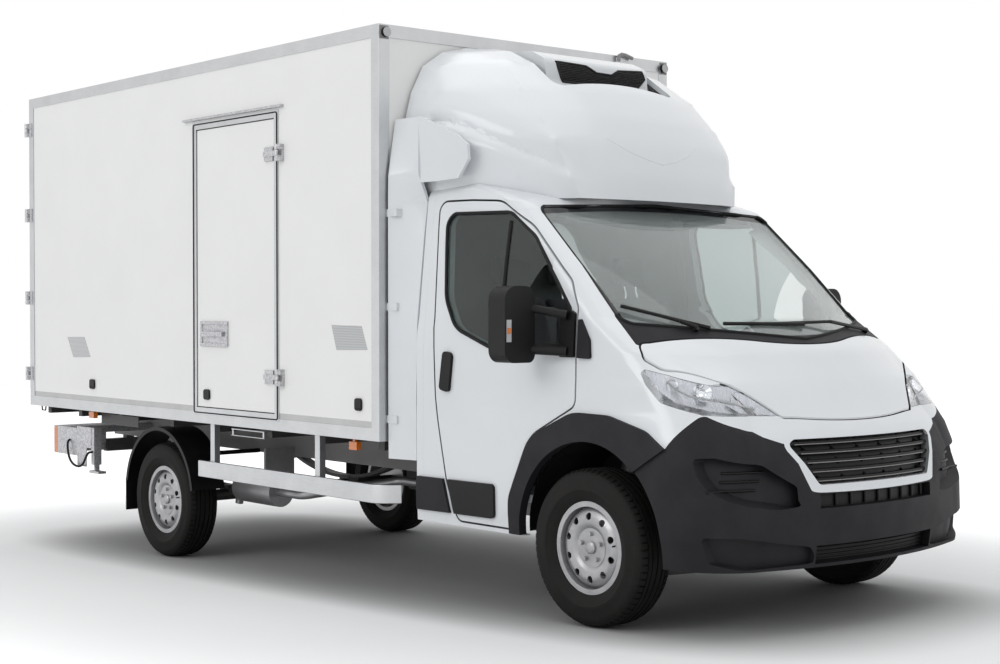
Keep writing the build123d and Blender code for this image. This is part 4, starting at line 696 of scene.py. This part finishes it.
# Nodes whose stand-in is made further down
REPLACED = {"seats", "headlamps", "lamp_lead", "roof_deflector"} | {
    f"wheel_{end}_{side}_tyre" for end in TRACKS for side in ("left", "right")}
EDGES = {
    "refrigeration_unit": 0.012, "box_edge_profiles": 0.0012, "side_guards": 0.004, "exhaust": 0.003,
    "fuel_tank": 0.02, "engine_block": 0.02, "frame_rails": 0.003, "door_right_mirror_and_trim": 0.004,
    "door_left_mirror_and_trim": 0.004, "rear_lamps": 0.006, "marker_lamps": 0.003, "hinge_plates": 0.0015,
    "side_door_hinges_and_lock": 0.002, "rear_door_left_hinges_and_bar": 0.0015,
    "rear_door_right_hinges_and_bar": 0.0015, "lamp_brackets": 0.001,
}
ZONES = {
    "cab_shell": (("white_paint", "interior"), inward),
    "door_right_panel": (("white_paint", "interior"), door_inward),
    "door_left_panel": (("white_paint", "interior"), door_inward),
    "windscreen": (("screen_glass",), lambda place, normal: 0),
    "marker_lamps": (("orange_lens", "white_lens", "black_plastic"), marker_zone),
    "rear_lamps": (("red_lens", "orange_lens", "white_lens"), rear_lamp_zone),
}
for name in nodes:
    if name not in REPLACED:
        dress(name, EDGES.get(name, 0.0), zones=ZONES.get(name))


# Seals of the cab's glass, and fittings behind the screen

WINDOW_OUTLINE = [
    (-1120, 1985, 70), (-640, 1975, 160), (-440, 1845, 200), (-150, 1490, 50),
    (-150, 1320, 30), (-720, 1300, 60), (-980, 1390, 160), (-1075, 1540, 200),
]
SCREEN_OUTLINE = [
    (-838, 2000, 45), (0, 2034, 0), (838, 2000, 45), (872, 1425, 45), (0, 1345, 0), (-872, 1425, 45),
]
GLASS_DIVIDER_X = -640
for label, side in SIDES:
    flank = skin_of(f"door_{label}_panel", f"door_{label}_glass")
    seal = [from_side(flank, side, x, z, 0.5) for x, z in spread(rounded(WINDOW_OUTLINE), SEAL_PITCH)]
    tubes(f"window_seal_{label}", [seal], 0.009, "seal_rubber", f"door_{label}", True)
    bar = [from_side(flank, side, GLASS_DIVIDER_X, z, -1) for z in range(1330, 1965, SEAL_PITCH)]
    tubes(f"window_divider_{label}", [bar], 0.011, "seal_rubber", f"door_{label}")

front_skin = skin_of("cab_shell", "cowl_panel", "windscreen")
seal = [from_front(front_skin, y, z, 0.5) for y, z in spread(rounded(SCREEN_OUTLINE), SEAL_PITCH)]
tubes("screen_seal", [seal], 0.008, "seal_rubber", "root", True)

MIRROR_SENSOR = [(-468, -430, 20, 110, 1905, 1950), (-520, -480, 50, 80, 1940, 1965)]
SUN_VISORS = [(-640, -470, 180, 700, 1930, 1948), (-640, -470, -700, -180, 1930, 1948)]
boxes("mirror_sensor", MIRROR_SENSOR, "interior", "root", 0.008)
boxes("sun_visors", SUN_VISORS, "interior", "root", 0.008)


# Seats: sewn cushions over a plinth

VOXEL = 0.012
BLOWING_FRAMES = 20


def cushion(name, outline, y0, y1, swell):
    """Padded block with the side outline in x and z, blown up by a cloth simulation."""
    ring = [tip(x, y0, z) for x, z in rounded(outline, 4)]
    obj = linked(name, meshed(name, *prism(ring, Vector((0, (y1 - y0) / 1000, 0)))))
    fine = obj.modifiers.new("voxels", "REMESH")
    fine.mode = "VOXEL"
    fine.voxel_size = VOXEL
    mesh = evaluated(obj)
    obj.modifiers.clear()
    obj.data = mesh
    rest = [vertex.co.copy() for vertex in mesh.vertices]
    cloth = obj.modifiers.new("cloth", "CLOTH")
    cloth.settings.use_pressure = True
    cloth.settings.uniform_pressure_force = 4.0
    cloth.settings.effector_weights.gravity = 0.0
    cloth.settings.quality = 4
    for step in range(1, BLOWING_FRAMES + 1):
        bpy.context.scene.frame_set(step)
    blown = evaluated(obj)
    obj.modifiers.clear()
    bpy.context.scene.frame_set(1)
    for vertex, start in zip(blown.vertices, rest):
        shift = vertex.co - start
        if shift.length > swell:
            vertex.co = start + shift.normalized() * swell
    obj.data = blown
    round_off = obj.modifiers.new("round", "SMOOTH")
    round_off.iterations = 6
    finer = obj.modifiers.new("finer", "SUBSURF")
    finer.levels = finer.render_levels = 1
    paint(obj, "seat_fabric")
    for polygon in obj.data.polygons:
        polygon.use_smooth = True
    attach(obj, "root")
    return obj


CUSHION = [(-950, 875, 30), (-410, 888, 40), (-400, 975, 50), (-950, 950, 40)]
BACKREST = [(-895, 975, 20), (-1000, 950, 40), (-1140, 1548, 60), (-1048, 1578, 50)]
HEADREST = [(-1082, 1612, 20), (-1160, 1612, 30), (-1178, 1770, 40), (-1106, 1780, 40)]
SEAT_PLACES = {"driver": (150, 650), "middle": (-290, 120), "window": (-700, -290)}
SEAT_GAP = 12
HEADREST_HALF = 112
SEAT_SWELL = 0.02
HEADREST_SWELL = 0.012
PLINTHS = [
    (-890, -500, 200, 600, 582, 880), (-890, -500, -650, 70, 582, 880),
    (-1060, -1020, 190, 610, 1000, 1500), (-1060, -1020, -660, 80, 1000, 1500),
]
for name, (y0, y1) in SEAT_PLACES.items():
    middle = (y0 + y1) / 2
    cushion(f"{name}_cushion", CUSHION, y0 + SEAT_GAP, y1 - SEAT_GAP, SEAT_SWELL)
    cushion(f"{name}_backrest", BACKREST, y0 + SEAT_GAP, y1 - SEAT_GAP, SEAT_SWELL)
    cushion(f"{name}_headrest", HEADREST, middle - HEADREST_HALF, middle + HEADREST_HALF, HEADREST_SWELL)
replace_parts(boxes("seat_plinths", PLINTHS, "interior", "root", 0.02), "seats")
tubes("headrest_stalks", [[tip(-1105, y + side * 45, 1500), tip(-1128, y + side * 45, 1640)]
                          for y in (400, -85, -495) for side in (-1, 1)], 0.006, "chrome", "root")


# Roof deflector with the crease along its flanks and the raised curve on its nose

CREASE = [
    (-1267, 936, 2473), (-1162, 919, 2465), (-1048, 897, 2437), (-931, 873, 2388), (-818, 835, 2341),
    (-729, 777, 2297), (-645, 715, 2259), (-565, 652, 2217), (-521, 589, 2182), (-491, 513, 2139),
    (-476, 478, 2094),
]
CREASE_DEPTH = 30
CREASE_ABOVE = 120
CREASE_BELOW = 45
CREASE_END_Z = 2120
CREASE_FADE = 160
DEFLECTOR_MIDDLE_X = -1150
DEFLECTOR_EDGE = 0.02
NOSE_CURVE = [(-343, 2372), (-215, 2304), (-103, 2268), (0, 2246), (103, 2268), (215, 2304), (343, 2372)]
NOSE_PARTS = 8


def nearest_on(line, place):
    """Gap to the closest point of a polyline, and that point, in the level body frame."""
    best = None
    for start, end in zip(line, line[1:]):
        along = end - start
        share = min(1.0, max(0.0, (place - start).dot(along) / along.length_squared))
        spot = start + along * share
        gap = (place - spot).length
        if best is None or gap < best[0]:
            best = (gap, spot)
    return best


def finer_mesh(mesh, longest):
    """Same mesh with no edge longer than a length in metres."""
    work = bmesh.new()
    work.from_mesh(mesh)
    for _ in range(8):
        long = [edge for edge in work.edges if edge.calc_length() > longest]
        if not long:
            break
        bmesh.ops.subdivide_edges(work, edges=long, cuts=1, use_grid_fill=False)
        bmesh.ops.triangulate(work, faces=[face for face in work.faces if len(face.verts) > 3])
    work.to_mesh(mesh)
    work.free()
    return mesh


def pressed(mesh, line):
    """Presses the mesh towards its middle along a line: gently above the line and sharply below."""
    for vertex in mesh.vertices:
        place = level(vertex.co)
        gap, spot = nearest_on(line, place)
        reach = CREASE_ABOVE if place.z > spot.z else CREASE_BELOW
        if gap < reach:
            fade = min(1.0, max(0.0, (spot.z - CREASE_END_Z) / CREASE_FADE))
            towards = Vector((DEFLECTOR_MIDDLE_X - place.x, -place.y, 0)).normalized()
            place += towards * (CREASE_DEPTH * fade * (1 - gap / reach) ** 2)
            vertex.co = tip(*place)


def evened(mesh, rounds):
    """Smooths the bands of the form away and leaves its rims as they are."""
    work = bmesh.new()
    work.from_mesh(mesh)
    free = [vertex for vertex in work.verts
            if all(len(edge.link_faces) == 2 and edge.calc_face_angle(0.0) < RIM_ANGLE
                   for edge in vertex.link_edges)]
    for _ in range(rounds):
        bmesh.ops.smooth_vert(work, verts=free, factor=0.5, use_axis_x=True, use_axis_y=True, use_axis_z=True)
    work.to_mesh(mesh)
    work.free()


deflector = finer_mesh(node_mesh("roof_deflector"), DEFLECTOR_EDGE)
evened(deflector, 30)
for side in (-1, 1):
    pressed(deflector, [Vector((x, side * y, z)) for x, y, z in CREASE])
evened(deflector, 5)
dress("roof_deflector", mesh=deflector, angle=40.0)
shell_tree = BVHTree.FromPolygons([vertex.co for vertex in deflector.vertices],
                                  [polygon.vertices for polygon in deflector.polygons])
swage = []
for (y0, z0), (y1, z1) in zip(NOSE_CURVE, NOSE_CURVE[1:]):
    for part in range(NOSE_PARTS):
        share = part / NOSE_PARTS
        swage.append(from_front(shell_tree, y0 + (y1 - y0) * share, z0 + (z1 - z0) * share, -1.2))
tubes("nose_swage", [swage], 0.003, "white_paint", "root")


# Headlamps: a clear cover over a silver bucket with three bowls

# Middle x, y, z of each bowl, its radius and its depth
BOWLS = [(432, 880, 1142, 30, 26), (540, 788, 1112, 40, 34), (620, 640, 1078, 40, 34)]
BOWL_RINGS = 6
BOWL_TURNS = 28
BOWL_FLOOR = 0.18
COVER_FACING = 0.45
# Light guide that runs along the foot of each lamp: y, z
LIGHT_STRIP = [
    (912, 1165), (900, 1130), (872, 1104), (820, 1090), (774, 1080), (720, 1070), (676, 1062), (600, 1040),
]


def lamp_part(mesh, side, name, cover):
    """The faces of one side's lamp that look out, or the others."""
    outward = Vector((0.62, side * 0.55, 0.55))
    work = bmesh.new()
    work.from_mesh(mesh)
    others = [face for face in work.faces if face.calc_center_median().y * side < 0
              or (face.normal.dot(outward) >= COVER_FACING) != cover]
    bmesh.ops.delete(work, geom=others, context="FACES")
    part = bpy.data.meshes.new(name)
    work.to_mesh(part)
    work.free()
    return part


def bowl(middle, facing, radius, depth):
    """Reflector with a flat floor that opens towards a direction."""
    across = facing.cross(Vector((0, 0, 1))).normalized()
    upward = across.cross(facing)
    points = []
    for ring in range(BOWL_RINGS + 1):
        share = ring / BOWL_RINGS
        for turn in range(BOWL_TURNS):
            angle = math.tau * turn / BOWL_TURNS
            arm = across * math.cos(angle) + upward * math.sin(angle)
            spot = arm * (radius * (BOWL_FLOOR + (1 - BOWL_FLOOR) * share))
            points.append(middle + (spot + facing * (depth * (share ** 2 - 1))) / 1000)
    faces = []
    for start in range(0, BOWL_RINGS * BOWL_TURNS, BOWL_TURNS):
        for turn in range(BOWL_TURNS):
            after = (turn + 1) % BOWL_TURNS
            faces.append((start + turn, start + after, start + BOWL_TURNS + after, start + BOWL_TURNS + turn))
    return meshed("bowl", points, faces + [tuple(range(BOWL_TURNS))])


whole = node_mesh("headlamps")
lamp_skin = skin_of("headlamps")
for label, side in SIDES:
    clear = piece(f"lamp_cover_{label}", lamp_part(whole, side, "cover", True), "lamp_glass", "root")
    wall = clear.modifiers.new("wall", "SOLIDIFY")
    wall.thickness = 0.003
    wall.offset = -1
    piece(f"lamp_bucket_{label}", lamp_part(whole, side, "bucket", False), "lamp_silver", "root",
          replaces="headlamps" if side < 0 else None)
    strip = [from_front(lamp_skin, side * y, z, -5) for y, z in LIGHT_STRIP]
    tubes(f"light_strip_{label}", [strip], 0.005, "white_lens", "root")
    facing = Vector((0.86, side * 0.45, 0.12)).normalized()
    bowls = [bowl(tip(x, side * y, z), facing, radius, depth) for x, y, z, radius, depth in BOWLS]
    piece(f"lamp_bowls_{label}", joined(bowls), "chrome", "root", angle=60.0)


# Grille edges with painted glints, bumper slats and bars

GRILLE_TOP = 905
GRILLE_LOW = 700
GRILLE_SLATS = 5
GRILLE_HALF = 393
SLAT_DROP = 5
UPRIGHTS = (-360, -215, -72, 72, 215, 360)
SLOT_BARS = 9
SLOT_HALF = 380
FOG_SLATS = (765, 726, 687)

grille_skin = skin_of("grille")
pitch = (GRILLE_TOP - GRILLE_LOW) / GRILLE_SLATS
lines = []
for index in range(GRILLE_SLATS):
    z = GRILLE_LOW + pitch * (index + 0.5) - SLAT_DROP
    half = int(GRILLE_HALF + (z - GRILLE_LOW) * 0.5)
    lines.append([from_front(grille_skin, y, z, 1.5) for y in range(-half, half + 1, 26)])
# Grey bars along the black slats' edges: painted glints of light
tubes("grille_edge_glints", lines, 0.0022, "steel_grey", "root")
lines = [[from_front(grille_skin, y * (1 + (z - GRILLE_LOW) / 900), z, -6) for z in range(706, 900, 16)]
         for y in UPRIGHTS]
tubes("grille_uprights", lines, 0.006, "black_plastic", "root")

bumper_skin = skin_of("front_bumper", "grille")
lines = []
for index in range(SLOT_BARS):
    y = -SLOT_HALF + 2 * SLOT_HALF * index / (SLOT_BARS - 1)
    lines.append([from_front(bumper_skin, y, z, 6) for z in (600, 628, 656)])
tubes("slot_uprights", lines, 0.007, "black_plastic", "root")
lines = [[from_front(bumper_skin, y, z, 4) for y in range(-415, 416, 30)] for z in (360, 378, 396, 414)]
tubes("lower_mesh", lines, 0.004, "black_plastic", "root")
for label, side in SIDES:
    lines = [[from_side(bumper_skin, side, x, z, 5) for x in range(694, 767, 18)] for z in FOG_SLATS]
    tubes(f"fog_slats_{label}", lines, 0.006, "black_plastic", "root")


# Mirror glass and the lamp in the mirror's outer corner

MIRROR_HEAD_Y = 1.12
MIRROR_RIM = 34
MIRROR_LAMPS = {
    "lamp": ([(1222, 1335), (1250, 1335), (1250, 1440), (1222, 1440)], 0.004, "white_lens"),
    "amber": ([(1226, 1374), (1248, 1374), (1248, 1402), (1226, 1402)], 0.006, "orange_lens"),
}
for label, side in SIDES:
    trim = f"door_{label}_mirror_and_trim"
    mirror_skin = skin_of(trim)
    head = [level(vertex.co) for vertex in nodes[trim].data.vertices if side * vertex.co.y > MIRROR_HEAD_Y]
    rear = min(place.x for place in head)
    low = min(place.z for place in head) + MIRROR_RIM
    high = max(place.z for place in head) - MIRROR_RIM
    boxes(f"mirror_glass_{label}", [(rear - 2, rear + 3, side * 1098, side * 1236, low, high)],
          "chrome", f"door_{label}", 0.001)
    for kind, (outline, proud, material) in MIRROR_LAMPS.items():
        points = [from_front(mirror_skin, side * y, z) for y, z in outline]
        slabs(f"mirror_{kind}_{label}", [(points, Vector((proud, 0, 0)))], material, f"door_{label}")


# Tyres with their tread

TREAD_BLOCKS = 68
SIDEWALL = [
    (0.204, -0.070), (0.221, -0.076), (0.222, -0.086), (0.234, -0.094), (0.251, -0.104), (0.268, -0.108),
    (0.272, -0.1115), (0.290, -0.112), (0.296, -0.1095), (0.325, -0.1100), (0.338, -0.1065), (0.349, -0.101),
    (0.357, -0.094), (0.3615, -0.084),
]
RIBS = [(-0.056, -0.036), (-0.030, -0.004), (0.004, 0.030), (0.036, 0.056)]
RIB_SLOPE = 0.001
GROOVE_RADIUS = 0.362
CROWN_RADIUS = 0.3715
# Rows of a shoulder block, from the middle outwards: distance out, radius at the foot and at the crown
BLOCK_ROWS = [(0.062, 0.3585, 0.3705), (0.078, 0.3585, 0.3685), (0.096, 0.3485, 0.3575)]
BLOCK_HALVES = {1: 0.0132, 2: 0.0124}
BLOCK_SIDES = [
    (0, 1, 4, 3), (1, 2, 5, 4), (6, 9, 10, 7), (7, 10, 11, 8), (0, 6, 7, 1), (1, 7, 8, 2),
    (3, 4, 10, 9), (4, 5, 11, 10), (0, 3, 9, 6), (2, 8, 11, 5),
]
VALVE = [(0.166, 0.074, 0.02), (0.176, 0.098, 0.021)]


def shoulder_block(flank):
    """Tread block of one shoulder, where the ring starts."""
    points = []
    for column, half_width in BLOCK_HALVES.items():
        for width in (-half_width, half_width):
            points += [Vector((row[column], row[0] * flank, width)) for row in BLOCK_ROWS]
    return meshed("block", points, BLOCK_SIDES)


profile = list(SIDEWALL)
for inner, outer in RIBS:
    profile += [(GROOVE_RADIUS, inner), (CROWN_RADIUS, inner + RIB_SLOPE),
                (CROWN_RADIUS, outer - RIB_SLOPE), (GROOVE_RADIUS, outer)]
profile += [(radius, -out) for radius, out in reversed(SIDEWALL)]
blocks = joined([shoulder_block(1), shoulder_block(-1)])
for end, track in TRACKS.items():
    for label, side in reversed(SIDES):
        name = f"wheel_{end}_{label}"
        centre = ground(0 if end == "front" else -WHEELBASE * 1000, side * track * 1000, HUB_Z * 1000)
        tread = copies(RING, blocks, TREAD_BLOCKS, "tyre", centre=centre)
        mesh = joined([lathe(profile, centre, side), tread])
        piece(f"{name}_tread_and_wall", mesh, "tyre", name, replaces=f"{name}_tyre", angle=28.0)
        valve = [centre + Vector((x, side * y, z)) for x, y, z in VALVE]
        tubes(f"{name}_valve", [valve], 0.004, "lead_rubber", name)


# Box: reflectors, drain covers, seals and small fittings

box_skin = skin_of("box_walls", "box_edge_profiles", "door_frames", "side_door_leaf", "box_floor")


def on_flank(name, side, outlines, depth, material, body, bevel=0.0):
    """Plates that lie on the box's flank, each an outline of x and z."""
    rows = []
    for outline in outlines:
        found = [from_side(box_skin, side, x, z) for x, z in outline]
        outermost = max(abs(point.y) for point in found if point) * 1000
        rows.append(([tip(x, side * outermost, z) for x, z in outline], Vector((0, side * depth, 0))))
    return slabs(name, rows, material, body, bevel)


def oblong(x0, x1, z0, z1, radius):
    """Rounded rectangle of x and z."""
    return rounded([(x0, z0, radius), (x1, z0, radius), (x1, z1, radius), (x0, z1, radius)], 4)


REFLECTORS = [
    [(-5198, 1284), (-4937, 1288), (-4848, 1152), (-5107, 1145)],
    [(-1947, 1399), (-1663, 1396), (-1609, 1268), (-1899, 1262)],
]
# Drain covers: x0, x1, z0, z1
BOX_DRAINS = [(-4850, -4776, 934, 1000), (-1720, -1656, 937, 1005)]
DOOR_DRAIN = (-3320, -3249, 927, 991)
DRAIN_RADIUS = 16
box_covers = [oblong(*row, DRAIN_RADIUS) for row in BOX_DRAINS]
# Near-black plates in the covers' slots: painted shade in the openings
box_slot_shade = [oblong(x0 + 12, x1 - 12, z0 + 8, z0 + 16, 3) for x0, x1, z0, z1 in BOX_DRAINS]
for label, side in SIDES:
    on_flank(f"reflectors_{label}", side, REFLECTORS, 0.0012, "reflector", "root")
    on_flank(f"drain_covers_{label}", side, box_covers, 0.012, "black_plastic", "root", 0.004)
    on_flank(f"drain_slot_shade_{label}", side, box_slot_shade, 0.014, "seal_rubber", "root", 0.001)
door_cover = [oblong(*DOOR_DRAIN, DRAIN_RADIUS)]
on_flank("door_drain_cover", -1, door_cover, 0.012, "black_plastic", "side_door", 0.004)

SIDE_DOOR_EDGE = (-3436, -2488, 845, 2623)
SIDE_DOOR_RADIUS = 14
seal = [from_side(box_skin, -1, x, z, 1.0)
        for x, z in spread(oblong(*SIDE_DOOR_EDGE, SIDE_DOOR_RADIUS), LONG_PITCH)]
tubes("side_door_seal", [seal], 0.004, "seal_rubber", "side_door", True)

REAR_SEAL = [(12, 905), (1010, 905), (1010, 2895), (12, 2895)]
rear_skin = skin_of("rear_door_left_leaf", "rear_door_right_leaf")
for label, side in SIDES:
    outline = [(side * y, z) for y, z in REAR_SEAL]
    seal = [from_front(rear_skin, y, z, 0.5, BEHIND) for y, z in spread(outline, LONG_PITCH)]
    tubes(f"rear_seal_{label}", [seal], 0.005, "seal_rubber", f"rear_door_{label}", True)

STEP = [
    (-3092, -2720, -1046, -1030, 752, 761), (-3092, -2720, -1046, -1038, 715, 722),
    (-3085, -3070, -1044, -1036, 715, 755), (-2742, -2727, -1044, -1036, 715, 755),
]
SKIRT_PLATES = [(-4857, -4327, -1012, -1004, 690, 762), (-4857, -4327, 1004, 1012, 690, 762)]
TOW_LOOP = [(-5756, 778), (-5750, 742), (-5696, 742), (-5690, 778)]
TOW_LOOP_Y = 1030
CORNER_PLATES = [(-1503, -1496, side * 1034, side * 1096, 2926, 2998) for side in (-1, 1)]
UNIT_DRAIN = [(665, 2968), (668, 3002), (690, 3012), (720, 3010), (780, 2995)]
UNIT_DRAIN_X = -1480
boxes("step_under_door", STEP, "aluminium", "root", 0.003)
boxes("rear_skirt_plates", SKIRT_PLATES, "steel_dark", "root", 0.002)
for label, side in SIDES:
    loop = [tip(x, side * TOW_LOOP_Y, z) for x, z in TOW_LOOP]
    tubes(f"tow_loop_{label}", [loop], 0.005, "black_plastic", "root")
boxes("corner_plates", CORNER_PLATES, "steel_grey", "root", 0.004)
tubes("unit_drain", [[tip(UNIT_DRAIN_X, y, z) for y, z in UNIT_DRAIN]], 0.011, "steel_grey", "root")


# Condensing unit: louvres and rim of its air intake

AIR_INTAKE = [
    (-306, 2819), (-85, 2813), (-9, 2782), (106, 2779), (160, 2808), (349, 2820), (365, 2777), (294, 2714),
    (-270, 2710),
]
LOUVRE_PITCH = 9
LOUVRE_STEP = 25


def across_intake(z):
    """Places where the intake's outline crosses a height, in pairs of a left and a right end."""
    ends = []
    for index, start in enumerate(AIR_INTAKE):
        end = AIR_INTAKE[(index + 1) % len(AIR_INTAKE)]
        if (start[1] - z) * (end[1] - z) < 0:
            ends.append(start[0] + (end[0] - start[0]) * (z - start[1]) / (end[1] - start[1]))
    return sorted(ends)


unit_skin = skin_of("refrigeration_unit")
lines = []
for z in range(2716, 2818, LOUVRE_PITCH):
    ends = across_intake(z + 0.5)
    for low, high in zip(ends[::2], ends[1::2]):
        steps = max(2, int((high - low) / LOUVRE_STEP))
        across = [low + (high - low) * step / steps for step in range(steps + 1)]
        lines.append([from_front(unit_skin, y, z, 1) for y in across])
tubes("intake_louvres", lines, 0.0042, "black_plastic", "root")
rim = [from_front(unit_skin, y, z, 1) for y, z in spread(AIR_INTAKE, 30)]
tubes("intake_rim", [rim], 0.006, "black_plastic", "root", True)


# Ribs of the cargo floor

RIB = (-5720, -1580, -963, -957, 891, 895)
RIB_STEP = 0.048
RIB_COUNT = 41
ribs = copies(ROW, box_mesh("rib", [RIB]), RIB_COUNT, "aluminium", (0, RIB_STEP, 0))
piece("cargo_floor_ribs", ribs, "aluminium", "root")


# The lamps' lead, which hangs from its grommet and goes up behind the post

LEAD_POINTS = [
    (-5365, -1000, 545), (-5365, -1024, 545), (-5340, -1024, 420), (-5250, -1024, 368), (-5130, -1024, 372),
    (-5060, -1024, 455), (-5028, -1024, 480), (-5028, -996.3, 480),
]
LEAD_DIAMETER = 0.016
LEAD_ORDER = 3


def nurbs_length(places, order, steps=600):
    """Length of the clamped uniform curve through the control points."""
    count = len(places)
    knots = [0.0] * order + [float(index) for index in range(1, count - order + 1)]
    knots += [float(count - order + 1)] * order

    def basis(index, degree, value):
        if degree == 0:
            return 1.0 if knots[index] <= value < knots[index + 1] else 0.0
        total = 0.0
        rise = knots[index + degree] - knots[index]
        if rise > 0:
            total += (value - knots[index]) / rise * basis(index, degree - 1, value)
        fall = knots[index + degree + 1] - knots[index + 1]
        if fall > 0:
            total += (knots[index + degree + 1] - value) / fall * basis(index + 1, degree - 1, value)
        return total

    end = knots[-1] - 1e-9
    points = []
    for step in range(steps + 1):
        shares = [basis(index, order - 1, end * step / steps) for index in range(count)]
        points.append(sum((place * share for place, share in zip(places, shares)), Vector((0, 0, 0))))
    return sum((after - before).length for before, after in zip(points, points[1:]))


places = [tip(*point) for point in LEAD_POINTS]
curve = bpy.data.curves.new("lead", "CURVE")
curve.dimensions = "3D"
curve.bevel_depth = LEAD_DIAMETER / 2
curve.bevel_resolution = 4
curve.use_fill_caps = True
spline = curve.splines.new("NURBS")
spline.points.add(len(places) - 1)
for point, place in zip(spline.points, places):
    point.co = (*place, 1)
spline.order_u = LEAD_ORDER
spline.use_endpoint_u = True
spline.resolution_u = 12
lead = linked("lead", curve)
curve.materials.append(MATERIALS["lead_rubber"])
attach(lead, "root")
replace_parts(lead, "lamp_lead")
nurbs_length(places, LEAD_ORDER)


# Camera of the photograph

EYE = ground(5623.2, -6297.6, 1326.6)
YAW = math.radians(139.55)
PITCH = math.radians(0.489)
ROLL = math.radians(-1.276)
FOCAL_PIXELS = 1647.615
IMAGE_WIDTH = 1000
SENSOR = 36.0

lens_data = bpy.data.cameras.new("camera")
camera = linked("camera", lens_data)
bpy.context.scene.camera = camera
level_forward = Vector((math.cos(YAW), math.sin(YAW), 0))
forward = level_forward * math.cos(PITCH) + Vector((0, 0, 1)) * math.sin(PITCH)
level_up = -level_forward * math.sin(PITCH) + Vector((0, 0, 1)) * math.cos(PITCH)
level_right = Vector((math.sin(YAW), -math.cos(YAW), 0))
right = level_right * math.cos(ROLL) + level_up * math.sin(ROLL)
up = level_up * math.cos(ROLL) - level_right * math.sin(ROLL)
camera.matrix_world = Matrix.Translation(EYE) @ Matrix((right, up, -forward)).transposed().to_4x4()
lens_data.sensor_width = SENSOR
lens_data.lens = FOCAL_PIXELS * SENSOR / IMAGE_WIDTH
lens_data.clip_start = 0.1
lens_data.clip_end = 200.0


# Floor: a painted shadow darkens it under the truck, grey around it and white further out, where it glows for
# the camera

FLOOR_HALF = 60.0
FLOOR_Z = -0.001
FLOOR_LIGHT = (0.80, 0.80, 0.80)
FLOOR_SHADE = (0.78, 0.78, 0.78)
# Dark floor colour under the truck: a painted shadow
FLOOR_PAINTED_SHADOW = (0.30, 0.30, 0.30)
FLOOR_GLOW = (0.5, 0.5, 0.5)
# Squares of the half axes, in metres, of the ellipses where the painted shadow ends and where the glow starts
PAINTED_SHADOW_AXES = (11.0, 1.5)
GLOW_AXES = (20.0, 7.0)

corners = [Vector((x * FLOOR_HALF, y * FLOOR_HALF, FLOOR_Z)) for x, y in ((-1, -1), (1, -1), (1, 1), (-1, 1))]
studio_floor = linked("studio_floor", meshed("studio_floor", corners, [(0, 1, 2, 3)]))
floor_finish = Finish("studio_floor")
grain = floor_finish.noise(scale=2.0)
square_x = floor_finish.x * floor_finish.x
square_y = floor_finish.y * floor_finish.y
away = (square_x / GLOW_AXES[0] + square_y / GLOW_AXES[1]).ramp(0.7, 2.6)
along = square_x / PAINTED_SHADOW_AXES[0]
across = square_y / PAINTED_SHADOW_AXES[1]
# Share that goes from the painted shadow under the truck to the grey floor
clear_of_painted_shadow = (along * along + across * across).ramp(0.3, 2.2)
floor_grey = floor_finish.mix(grain, FLOOR_LIGHT, FLOOR_SHADE)
floor_finish.shader.inputs["Emission Strength"].default_value = 1.0
# Base colour: the painted shadow under the truck, the grey floor further out
floor_finish.set(Emission_Color=floor_finish.mix(away * floor_finish.seen(), (0, 0, 0), FLOOR_GLOW),
                 Base_Color=floor_finish.mix(clear_of_painted_shadow, FLOOR_PAINTED_SHADOW, floor_grey), Roughness=grain * 0.05 + 0.85)
studio_floor.data.materials.append(floor_finish.material)
studio_floor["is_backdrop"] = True


# World: a soft sky that lights the truck, behind which the camera sees white

SKY_LOW = (0.34, 0.35, 0.36)
SKY_HIGH = (0.84, 0.85, 0.86)
WHITE = (1, 1, 1, 1)

world = bpy.data.worlds.new("studio")
bpy.context.scene.world = world
world.use_nodes = True
world.node_tree.nodes.clear()
sky = Nodes(world.node_tree)
height = sky.node("ShaderNodeSeparateXYZ", {}, {0: sky.node("ShaderNodeTexCoord")}, 2)
soft = sky.node("ShaderNodeBackground", {}, {"Color": sky.mix(height.ramp(0.0, 0.5), SKY_LOW, SKY_HIGH),
                                             "Strength": 1.0})
backdrop = sky.node("ShaderNodeBackground", {}, {"Color": WHITE, "Strength": 1.0})
sky.node("ShaderNodeOutputWorld", {}, {"Surface": sky.shader_mix(sky.seen(), soft, backdrop)})


# Lights

def area_light(name, place, target, size, power):
    """Rectangular lamp at a place that faces a target."""
    light = bpy.data.lights.new(name, "AREA")
    light.shape = "RECTANGLE"
    light.size, light.size_y = size
    light.energy = power
    obj = linked(name, light)
    obj.location = place
    obj.rotation_mode = "QUATERNION"
    obj.rotation_quaternion = (Vector(target) - Vector(place)).to_track_quat("-Z", "Y")


area_light("key", place=(0.0, -12.0, 7.0), target=(-1, 0, 1.2), size=(8, 5), power=330)
area_light("front_fill", place=(11.0, -1.0, 5.0), target=(1.5, 0, 1.2), size=(6, 4), power=60)
area_light("top", place=(0, 0, 10.0), target=(0, 0, 0), size=(12, 8), power=200)

bpy.context.scene.view_settings.view_transform = "Standard"

low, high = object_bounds()
